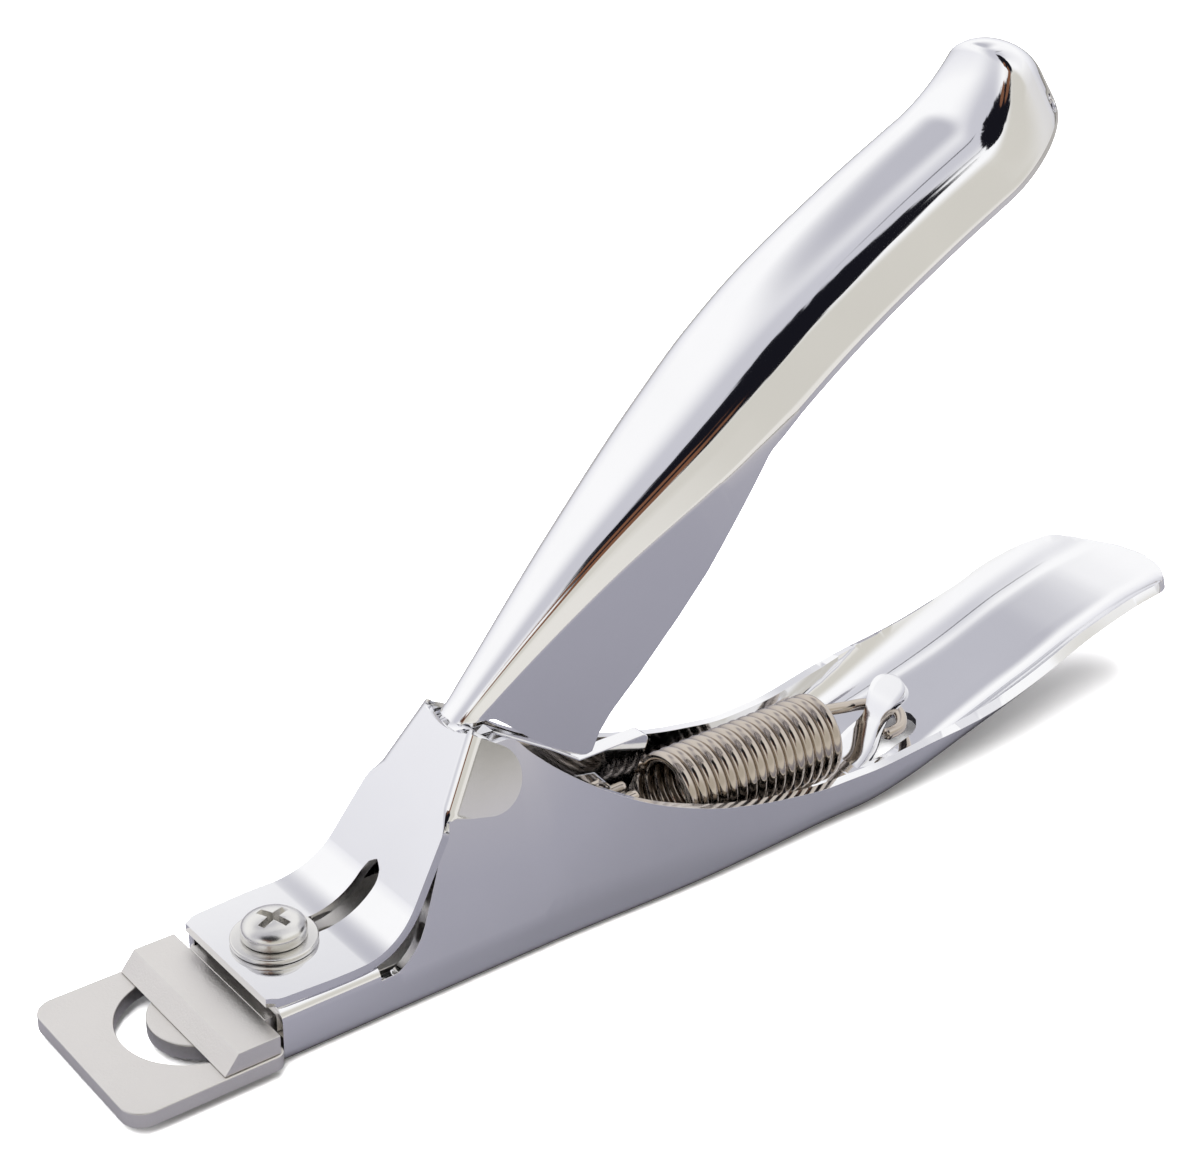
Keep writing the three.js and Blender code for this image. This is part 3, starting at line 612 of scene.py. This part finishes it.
def room_inside(outline):
    """Signed distance to a closed outline in x and z, positive inside."""
    edges = list(zip(outline, outline[1:] + outline[:1]))

    def distance(x, z):
        best = 1e9
        inside = False
        for (xa, za), (xb, zb) in edges:
            dx, dz = xb - xa, zb - za
            t = min(1, max(0, ((x - xa) * dx + (z - za) * dz) / (dx * dx + dz * dz)))
            best = min(best, math.hypot(x - xa - t * dx, z - za - t * dz))
            if (za > z) != (zb > z) and x < xa + (z - za) / (zb - za) * dx:
                inside = not inside
        return best if inside else -best

    return distance


def side_plate_room():
    """Signed distance inside the outline of the side plates and the rim behind them."""
    rim = []
    for a, b in zip(LEVER_LINE[::6], LEVER_LINE[1::6]):
        ahead = (b - a).normalized()
        if a.x > LEG_END + 1.5:
            rim.append((a.x + ahead.z * RIM_DEPTH, a.z - ahead.x * RIM_DEPTH))
    return room_inside([(-1.35, 30), (40, 80), (80, 80), *reversed(rim), *SIDE_PLATE])


def build_upper_handle():
    bm = bmesh.new()
    add_grid(bm, lever_rows())
    room = side_plate_room()
    trim(bm, lambda x, y, z: room(x, z) if x < SIDE_CUT_X or z < SIDE_CUT_Z else 1)
    trim(bm, off_hang_hole)
    join_sides(bm, HINGE_Z - 5, LEG_TOP_Z)
    piece = finish_object("upper_handle_sheet", bm, "lever", "upper_handle", CHROME)
    thicken(piece, SHEET)
    return soften(piece, 0.2)


def build_lever_web():
    """Flat plate inside the lever: the toe that drives the blade and the tooth that holds the spring."""
    toe_x, toe_z, toe_r, toe_half = 2.38, 3.51, 1.2, 1.02
    outline = [(-1.9, 16), (toe_x - toe_half, toe_z + 0.6)]
    outline += arc(toe_x, toe_z, toe_r, 150, 390, 12)
    outline += [(toe_x + toe_half, toe_z + 0.6), (2.3, 14.9), (8, 12.2), (13.1, 11.2), (14.9, 9.2)]
    outline += [(14.9, 6.9), (15.2, 6.7), (16.1, 6.75), (16.8, 7.3), (19.15, 12.2)]
    outline += arc(18.5, 12.6, 0.7, 0, 90, 5)
    outline += [(11.6, 13.3), (8.6, 15.4), (2.5, 19.2), (-0.5, 19.4)]
    bm = plate_bmesh(outline, [], -0.8, 0.8, 0.18)
    upright = Matrix.Rotation(math.radians(90), 4, 'X')
    bmesh.ops.transform(bm, matrix=upright, verts=bm.verts)
    bmesh.ops.translate(bm, vec=(0, -0.5, 0), verts=bm.verts)
    return finish_object("lever_web", bm, "lever", None, CHROME, smooth=False)


def build_lever_hub():
    """Sleeve round the hinge pin."""
    bore, r, half, chamfer = HUB_BORE, HUB_R, HUB_HALF, HUB_CHAMFER
    bm = bmesh.new()
    lathe(bm, [
        (bore, -half), (r - chamfer, -half), (r, chamfer - half),
        (r, half - chamfer), (r - chamfer, half), (bore, half), (bore, -half),
    ], 0, 0, 48)
    bmesh.ops.remove_doubles(bm, verts=bm.verts, dist=1e-4)
    bmesh.ops.transform(bm, matrix=Matrix.Rotation(math.radians(90), 4, 'X'), verts=bm.verts)
    bmesh.ops.translate(bm, vec=(0, 0, HINGE_Z), verts=bm.verts)
    return finish_object("lever_hub", bm, "lever", None, CHROME)


# ---- cutting end ----
def build_anvil_plate():
    """Flat plate with the crescent that the nail tip goes through, and a tang under the blade."""
    r, back_r = PLATE_FRONT_R, PLATE_BACK_R
    front_x, side = PLATE_FRONT + r, PLATE_HALF - r
    back_x, back = PLATE_SHOULDER - back_r, PLATE_HALF - back_r
    outline = [(PLATE_REAR, -TANG_HALF), (PLATE_REAR, TANG_HALF), (PLATE_SHOULDER, TANG_HALF)]
    outline += arc(back_x, back, back_r, 0, 90, 6) + arc(front_x, side, r, 90, 180, 12)
    outline += arc(front_x, -side, r, 180, 270, 12) + arc(back_x, -back, back_r, 270, 360, 6)
    outline += [(PLATE_SHOULDER, -TANG_HALF)]
    reach = math.degrees(math.acos((CRESCENT_END - CUT_X) / CUT_R))
    island = math.degrees(math.acos((CRESCENT_END - ISLAND_X) / ISLAND_R))
    crescent = arc(CUT_X, 0, CUT_R, reach, 360 - reach, 48)
    crescent += arc(ISLAND_X, 0, ISLAND_R, 360 - island, island, 40)
    screw_hole = arc(SCREW_X, 0, SCREW_R + 0.2, 0, 350, 35)
    bm = plate_bmesh(outline, [crescent, screw_hole], *PLATE_Z, 0.12)
    return finish_object("anvil_plate_sheet", bm, "frame", "anvil_plate", SATIN, smooth=False)


def build_blade():
    """Bevelled head, and a slotted tail with a pocket for the lever's toe."""
    z0, z1 = BLADE_Z
    side = [(BLADE_EDGE, z0), (BLADE_SHOULDER, z0), (BLADE_SHOULDER, z1), (BLADE_EDGE + BLADE_BEVEL, z1)]
    side.append((BLADE_EDGE, z0 + BLADE_LAND))
    bm = bmesh.new()
    left = [bm.verts.new((x, -BLADE_HALF, z)) for x, z in side]
    right = [bm.verts.new((x, BLADE_HALF, z)) for x, z in side]
    bm.faces.new(left)
    bm.faces.new(list(reversed(right)))
    for k in range(len(side)):
        n = (k + 1) % len(side)
        bm.faces.new((left[n], left[k], right[k], right[n]))
    bmesh.ops.recalc_face_normals(bm, faces=bm.faces)
    head = finish_object("blade_head", bm, "cutter", "blade", SATIN, smooth=False)
    soften(head, 0.1, 2, 50)
    half = BLADE_TAIL_HALF
    outline = [(BLADE_SHOULDER, -half), (BLADE_REAR, -half), (BLADE_REAR, half), (BLADE_SHOULDER, half)]
    guide_r = SCREW_R + 0.35
    guide = arc(SCREW_X, 0, guide_r, 90, 270, 12) + arc(SCREW_X + STROKE_ROOM, 0, guide_r, 270, 450, 12)
    pocket = [(0.86, -1.62), (3.9, -1.62), (3.9, 0.62), (0.86, 0.62)]
    bm = plate_bmesh(outline, [guide, pocket], z0, z1, 0.08)
    return finish_object("blade_tail", bm, "cutter", None, SATIN, smooth=False)


def cover_line():
    """Top face of the cover from front to top: its flat, its bend, then its slope."""
    tangent = COVER_BEND * math.tan(COVER_SLOPE / 2)
    start = COVER_KNEE - tangent
    line = [(x, COVER_TOP) for x in steps(COVER_FRONT, start, 20)]
    for a in steps(0, COVER_SLOPE, 24)[1:]:
        line.append((start + COVER_BEND * math.sin(a), COVER_TOP + COVER_BEND * (1 - math.cos(a))))
    x0, z0 = line[-1]
    for z in steps(z0, COVER_TOP_Z, 40)[1:]:
        line.append((x0 + (z - z0) / math.tan(COVER_SLOPE), z))
    return line


cover_half = through([
    (COVER_FRONT, 6.3), (-21.9, 6.85), (-20, 7), (-15.8, 7.2), (-12.8, 7.05), (-10.6, 6.75), (-8.9, 6.35),
    (-6.9, 5.85), (-5.6, 5.6), (-3.4, 4.69), (-1.2, 3.77), (0.6, 3.02),
])


def cover_rows():
    """Rows across one half of the cover; high up they turn back along the wall to make the ear."""
    rows = []
    for x, z in cover_line():
        half = cover_half(x)
        folded = z > EAR_LOW_Z - EAR_FADE
        radius = FOLD_R * min(1, max(0.08, (z - EAR_LOW_Z + EAR_FADE) / (2 * EAR_FADE)))
        inner = half - radius if folded else half
        row = [Vector((x, -inner + inner * k / 8, z)) for k in range(9)]
        if folded:
            back = Vector((math.sin(COVER_SLOPE), 0, -math.cos(COVER_SLOPE)))
            across = Vector((0, -1, 0))
            fold = []
            centre = Vector((x, -inner, z)) + radius * back
            for t in steps(0, FOLD_TURN, 8)[1:]:
                fold.append(centre - radius * math.cos(t) * back + radius * math.sin(t) * across)
            away = (back + Vector((0, -EAR_LEAN * math.cos(COVER_SLOPE), 0))).normalized()
            fold += [fold[-1] + away * reach for reach in steps(0, EAR_REACH, 24)[1:]]
            row = list(reversed(fold)) + row
        rows.append((folded, row))
    return rows


def ear_room(x, z):
    """Positive inside the ear's side outline: a round end whose straight edges run forward to the cover."""
    rel_x, rel_z = x - EAR_X, z - EAR_Z
    low, high = EAR_ANGLES
    if low < math.degrees(math.atan2(rel_z, rel_x)) < high:
        return EAR_R - math.hypot(rel_x, rel_z)
    reach = [rel_x * math.cos(math.radians(a)) + rel_z * math.sin(math.radians(a)) for a in EAR_ANGLES]
    return EAR_R - max(reach)


def build_cover_plate():
    """Cover with its slot, dip and ears: one half, then its mirror image."""
    rows = cover_rows()
    bm = bmesh.new()
    flat = [row for folded, row in rows if not folded]
    folded = [row for is_folded, row in rows if is_folded]
    add_grid(bm, flat + [folded[0][-9:]])
    add_grid(bm, folded)

    def in_ear(x, z):
        top_x = COVER_KNEE + (z - COVER_TOP) / math.tan(COVER_SLOPE)
        return ear_room(x, z) if x > top_x + EAR_CUT_BEHIND and z > EAR_CUT_ABOVE_Z else 1

    def off_slot(x, y, z):
        reach = math.hypot(max(0, SCREW_X - x, x - COVER_SLOT_END), y) - COVER_SLOT_HALF
        return max(reach, 0.001 if z > COVER_SLOT_TOP_Z else -1)

    def under_dip(y, z):
        return COVER_DIP + DIP_CURVE * y * y + DIP_CLIMB * max(0, abs(y) - DIP_HALF) - z

    trim(bm, lambda x, y, z: in_ear(x, z))
    trim(bm, off_slot)
    trim(bm, lambda x, y, z: under_dip(y, z))
    mirrored = bm.copy()
    bmesh.ops.scale(mirrored, vec=(1, -1, 1), verts=mirrored.verts)
    bmesh.ops.reverse_faces(mirrored, faces=mirrored.faces)
    merge(bm, mirrored)
    bmesh.ops.remove_doubles(bm, verts=bm.verts, dist=0.01)
    # the flats become single faces, so that the rim beside them is rounded evenly
    bmesh.ops.dissolve_limit(bm, angle_limit=math.radians(2), verts=bm.verts, edges=bm.edges)
    piece = finish_object("cover_sheet", bm, "frame", "cover_plate", CHROME)
    thicken(piece, COVER_SHEET, side=1)
    return soften(piece, 0.18)


def build_washer():
    bm = bmesh.new()
    top, low, chamfer, bore = SEAT_Z + WASHER_T, SEAT_Z, 0.1, SCREW_R + 0.15
    lathe(bm, [
        (bore, low), (WASHER_R - chamfer, low), (WASHER_R, low + chamfer),
        (WASHER_R, top - chamfer), (WASHER_R - chamfer, top), (bore, top), (bore, low),
    ], SCREW_X, 0)
    bmesh.ops.remove_doubles(bm, verts=bm.verts, dist=1e-4)
    piece = finish_object("washer", bm, "frame", "cover_washer", ZINC)
    return soften(piece, 0.05, 2, 30)


def cross_bar(seat, angle):
    """One bar of the screw's cross, wider and longer at the top."""
    bar = bmesh.new()
    loops = []
    for reach, half, level in ((1.9, 0.36, seat + 2.2), (0.8, 0.26, seat + 0.45)):
        loops.append([bar.verts.new((x, y, level)) for x, y in (
            (-reach, -half), (reach, -half), (reach, half), (-reach, half))])
    high, low = loops
    bar.faces.new(high)
    bar.faces.new(list(reversed(low)))
    for k in range(4):
        n = (k + 1) % 4
        bar.faces.new((high[n], high[k], low[k], low[n]))
    bmesh.ops.rotate(bar, verts=bar.verts, matrix=Matrix.Rotation(math.radians(angle), 3, 'Z'))
    bmesh.ops.translate(bar, verts=bar.verts, vec=(SCREW_X, 0, 0))
    bmesh.ops.recalc_face_normals(bar, faces=bar.faces)
    return bar


def build_screw():
    """Pan head with a cross recess, on a threaded shank."""
    seat = SEAT_Z + WASHER_T + 0.05
    bm = bmesh.new()
    profile = [(0, SCREW_LOW_Z), (SCREW_R - 0.3, SCREW_LOW_Z)]
    z = 0.5
    while z < seat - 0.6:
        profile += [(SCREW_R, z), (SCREW_R - THREAD_DEPTH, z + THREAD_PITCH / 2)]
        z += THREAD_PITCH
    profile += [(SCREW_R, seat), (SCREW_HEAD_R - 0.1, seat), (SCREW_HEAD_R, seat + 0.12)]
    profile += [(SCREW_HEAD_R, seat + HEAD_SIDE)]
    for a in steps(0, math.pi / 2, 10)[1:-1]:
        profile.append((SCREW_HEAD_R * math.cos(a) ** 0.8, seat + HEAD_SIDE + HEAD_DOME * math.sin(a)))
    profile.append((0, seat + HEAD_SIDE + HEAD_DOME))
    lathe(bm, profile, SCREW_X, 0, 64)
    bmesh.ops.recalc_face_normals(bm, faces=bm.faces)
    screw = finish_object("pan_screw", bm, "frame", "cover_screw", ZINC)
    recess = bmesh.new()
    for angle in (CROSS_TURN, CROSS_TURN + 90):
        merge(recess, cross_bar(seat, angle))
    bmesh.ops.scale(recess, vec=(MM, MM, MM), verts=recess.verts)
    mesh = bpy.data.meshes.new("recess")
    recess.to_mesh(mesh)
    recess.free()
    tool = bpy.data.objects.new("recess", mesh)
    bpy.context.scene.collection.objects.link(tool)
    cut = screw.modifiers.new("recess", 'BOOLEAN')
    cut.object = tool
    cut.operation = 'DIFFERENCE'
    cut.solver = 'EXACT'
    cut.use_self = True
    with bpy.context.temp_override(object=screw, active_object=screw, selected_objects=[screw]):
        bpy.ops.object.modifier_apply(modifier="recess")
    bpy.data.objects.remove(tool)
    return soften(screw, 0.05, 2, 35)


# ---- spring ----
def coil_points():
    """Middle of the wire along the closed coil."""
    per_turn = 48
    mean = SPRING_R - SPRING_WIRE / 2
    start, end = SPRING_X[0] + 0.6, SPRING_X[1] - 0.6
    count = SPRING_TURNS * per_turn
    points = []
    for i in range(count + 1):
        a = COIL_START - 2 * math.pi * i / per_turn
        points.append(Vector((
            start + (end - start) * i / count,
            SPRING_Y + mean * math.cos(a),
            SPRING_Z + mean * math.sin(a))))
    return points


def build_spring():
    """Coil with its rear hook round the tongue, and a front hook at the lever's tooth."""
    # each hook's path starts inside the coil, so that it leaves along the wire
    coil = coil_points()
    y = SPRING_Y
    rear = smooth_path([
        coil[-4], coil[-1], (42.2, y + 2.7, 6), (45.5, y + 2.4, 5.4), (48.8, y + 2.2, 4.8), (50.6, y, 4.6),
        (49.2, y - 2.1, 4.3), (47, y - 2.3, 4.1),
    ])
    bm = bmesh.new()
    wire_mesh(bm, coil + rear[9:], SPRING_WIRE / 2)
    finish_object("spring_coil", bm, "frame", "return_spring", NICKEL)
    front = smooth_path([
        coil[4], coil[0], (18.6, y + 2.6, 7.8), (16.2, y + 2, 7.9), (14.1, y + 1.7, 7.9),
        (13.5, y + 0.4, 7.9), (13.9, y - 0.9, 7.9), (15.6, y - 1.3, 7.9), (17.4, y - 1.3, 7.9),
    ])
    bm = bmesh.new()
    wire_mesh(bm, front[4:], SPRING_WIRE / 2)
    hook = finish_object("spring_hook", bm, None, None, NICKEL)
    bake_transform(hook)


# ---- studio ----
def build_camera():
    """Looks at the middle of the tool from its cutting end, a little above, with a slight roll."""
    data = bpy.data.cameras.new("camera")
    data.lens = 72
    data.sensor_width = 36
    data.sensor_fit = 'HORIZONTAL'
    data.clip_start = 0.01
    camera = bpy.data.objects.new("camera", data)
    bpy.context.scene.collection.objects.link(camera)
    place = Vector((-97.4, -139.2, 121)) * MM
    target = Vector((14.35, 0, 28.6)) * MM
    back = (place - target).normalized()
    right = Vector((0, 0, 1)).cross(back).normalized()
    up = back.cross(right)
    roll = math.radians(1.47)
    right, up = right * math.cos(roll) + up * math.sin(roll), up * math.cos(roll) - right * math.sin(roll)
    camera.matrix_world = Matrix((
        (right.x, up.x, back.x, place.x),
        (right.y, up.y, back.y, place.y),
        (right.z, up.z, back.z, place.z),
        (0, 0, 0, 1),
    ))
    bpy.context.scene.camera = camera


def area_light(name, place, target, size, watts):
    """A soft light that the metal doesn't mirror."""
    data = bpy.data.lights.new(name, 'AREA')
    data.shape = 'RECTANGLE'
    data.size, data.size_y = size
    data.energy = watts
    light = bpy.data.objects.new(name, data)
    bpy.context.scene.collection.objects.link(light)
    light.location = place
    light.visible_glossy = False
    light.rotation_euler = (Vector(target) - Vector(place)).to_track_quat('-Z', 'Y').to_euler()


def build_studio():
    """White floor, pale to the camera but mirrored by the metal as painted grey shade, three soft lights."""
    bpy.ops.mesh.primitive_plane_add(size=6, location=(0, 0, -0.00002))
    floor = bpy.context.object
    floor.name = "floor"
    material = bpy.data.materials.new("floor")
    material.use_nodes = True
    nodes, links = material.node_tree.nodes, material.node_tree.links
    shader = nodes["Principled BSDF"]
    shader.inputs["Roughness"].default_value = 0.9
    shader.inputs["Specular IOR Level"].default_value = 0.1
    # the floor's colour depends on the ray: pale to the camera, painted grey shade to glossy rays
    path = nodes.new("ShaderNodeLightPath")
    tone = nodes.new("ShaderNodeMix")
    tone.data_type = 'RGBA'
    tone.inputs["A"].default_value = (0.93, 0.93, 0.93, 1)
    links.new(path.outputs["Is Glossy Ray"], tone.inputs["Factor"])
    # painted reflection: glossy rays see the floor as painted grey shade, darkest near the tool, while the
    # camera sees it pale
    place = nodes.new("ShaderNodeTexCoord")
    reach = nodes.new("ShaderNodeVectorMath")
    reach.operation = 'LENGTH'
    links.new(place.outputs["Object"], reach.inputs[0])
    # painted shade that the metal mirrors: darker grey nearer the tool
    sheet = nodes.new("ShaderNodeValToRGB")
    stops = sheet.color_ramp.elements
    stops[0].position, stops[0].color = 0.06, (0.1, 0.099, 0.115, 1)
    stops[1].position, stops[1].color = 0.9, (0.26, 0.25, 0.225, 1)
    middle = stops.new(0.28)
    middle.color = (0.17, 0.165, 0.17, 1)
    links.new(reach.outputs["Value"], sheet.inputs["Fac"])
    links.new(sheet.outputs["Color"], tone.inputs["B"])
    links.new(tone.outputs["Result"], shader.inputs["Base Color"])
    floor.data.materials.append(material)

    centre = (0.025, 0, 0.02)
    area_light("key", (-0.35, -0.25, 0.75), centre, (0.5, 0.5), 14)
    area_light("top", (0.15, 0.2, 0.8), centre, (0.7, 0.7), 14)
    area_light("front", (-0.7, 0.05, 0.25), centre, (0.4, 0.3), 2)


def card(links, nodes, where, behind, aim, along, half_width, half_length, colour, soft=0.12, ragged=0.0):
    """An oval patch of the room that faces the tool from direction aim, painted over what is behind it."""
    aim = Vector(aim).normalized()
    across = Vector(along).cross(aim).normalized()
    turn = Matrix((across, aim.cross(across), aim)).transposed().to_euler()
    local = nodes.new("ShaderNodeMapping")
    local.vector_type = 'TEXTURE'
    local.inputs["Rotation"].default_value = turn
    local.inputs["Scale"].default_value = (half_width, half_length, 50)
    links.new(where, local.inputs["Vector"])
    reach = nodes.new("ShaderNodeVectorMath")
    reach.operation = 'LENGTH'
    links.new(local.outputs["Vector"], reach.inputs[0])
    rough = nodes.new("ShaderNodeTexNoise")
    rough.inputs["Scale"].default_value = 14
    rough.inputs["Detail"].default_value = 5
    links.new(where, rough.inputs["Vector"])
    edge = nodes.new("ShaderNodeMath")
    edge.operation = 'MULTIPLY_ADD'
    edge.inputs[1].default_value = ragged
    links.new(rough.outputs["Fac"], edge.inputs[0])
    links.new(reach.outputs["Value"], edge.inputs[2])
    share = nodes.new("ShaderNodeMapRange")
    share.interpolation_type = 'SMOOTHSTEP'
    share.inputs["From Min"].default_value = 1 + ragged / 2 + soft
    share.inputs["From Max"].default_value = 1 + ragged / 2 - soft
    links.new(edge.outputs["Value"], share.inputs["Value"])
    facing = nodes.new("ShaderNodeVectorMath")
    facing.operation = 'DOT_PRODUCT'
    facing.inputs[1].default_value = aim
    links.new(where, facing.inputs[0])
    ahead = nodes.new("ShaderNodeMath")
    ahead.operation = 'GREATER_THAN'
    ahead.inputs[1].default_value = 0
    links.new(facing.outputs["Value"], ahead.inputs[0])
    shown = nodes.new("ShaderNodeMath")
    shown.operation = 'MULTIPLY'
    links.new(share.outputs["Result"], shown.inputs[0])
    links.new(ahead.outputs["Value"], shown.inputs[1])
    mix = nodes.new("ShaderNodeMix")
    mix.data_type = 'RGBA'
    mix.inputs["B"].default_value = (*colour, 1)
    links.new(shown.outputs["Value"], mix.inputs["Factor"])
    links.new(behind, mix.inputs["A"])
    return mix.outputs["Result"]


def build_room():
    """White room with the cards that the plated sheet mirrors."""
    world = bpy.data.worlds.new("studio")
    bpy.context.scene.world = world
    world.use_nodes = True
    nodes, links = world.node_tree.nodes, world.node_tree.links
    background = nodes["Background"]
    where = nodes.new("ShaderNodeTexCoord").outputs["Generated"]
    split = nodes.new("ShaderNodeSeparateXYZ")
    links.new(where, split.inputs["Vector"])
    wash = nodes.new("ShaderNodeValToRGB")
    stops = wash.color_ramp.elements
    stops[0].position, stops[0].color = 0.0, (0.6, 0.6, 0.64, 1)
    stops[1].position, stops[1].color = 0.42, (1.0, 1.0, 1.0, 1)
    third = stops.new(0.2)
    third.color = (0.86, 0.86, 0.89, 1)
    links.new(split.outputs["Z"], wash.inputs["Fac"])
    room = wash.outputs["Color"]
    # each card: aim, long direction, half width, half length, colour, softness, raggedness
    for aim, along, wide, long, colour, soft, ragged in (
        ((-0.05, -0.95, 0.3), (1, 0, 0), 0.5, 0.95, (0.66, 0.64, 0.58), 0.3, 0.0),
        ((0.1, -0.98, 0.12), (1, 0, 0), 0.16, 0.9, (0.82, 0.8, 0.75), 0.5, 0.0),
        ((-0.4, 0.2, 0.88), (-0.78, 0.1, -0.4), 0.34, 0.8, (0.6, 0.6, 0.65), 0.5, 0.0),
        ((-0.36, -0.3, 0.88), (-0.78, 0.1, -0.4), 0.42, 0.42, (0.008, 0.008, 0.012), 0.05, 0.6),
        ((0.18, 0.62, 0.76), (1, 0, -0.3), 0.16, 0.34, (0.52, 0.52, 0.57), 0.6, 0.0),
        ((0.2, 0.23, 0.95), (1, 0, -0.2), 0.012, 0.3, (0.06, 0.06, 0.07), 0.4, 0.5),
        ((-0.64, -0.27, 0.7), (-0.78, 0.1, -0.4), 0.07, 0.15, (0.2, 0.09, 0.05), 0.1, 0.5),
        ((-0.6, -0.54, 0.6), (0.5, 0.4, 0.7), 0.1, 0.2, (0.2, 0.09, 0.05), 0.1, 0.5),
    ):
        room = card(links, nodes, where, room, aim, along, wide, long, colour, soft, ragged)
    links.new(room, background.inputs["Color"])
    background.inputs["Strength"].default_value = 1.08


build_camera()
build_studio()
build_room()
bpy.context.scene.view_settings.view_transform = 'Standard'
build_lower_handle()
build_tongue()
build_upper_handle()
build_lever_web()
build_lever_hub()
build_anvil_plate()
build_blade()
build_cover_plate()
build_washer()
build_screw()
build_spring()
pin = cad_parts["pivot_pin"]
pin.data.materials.clear()
pin.data.materials.append(ZINC)
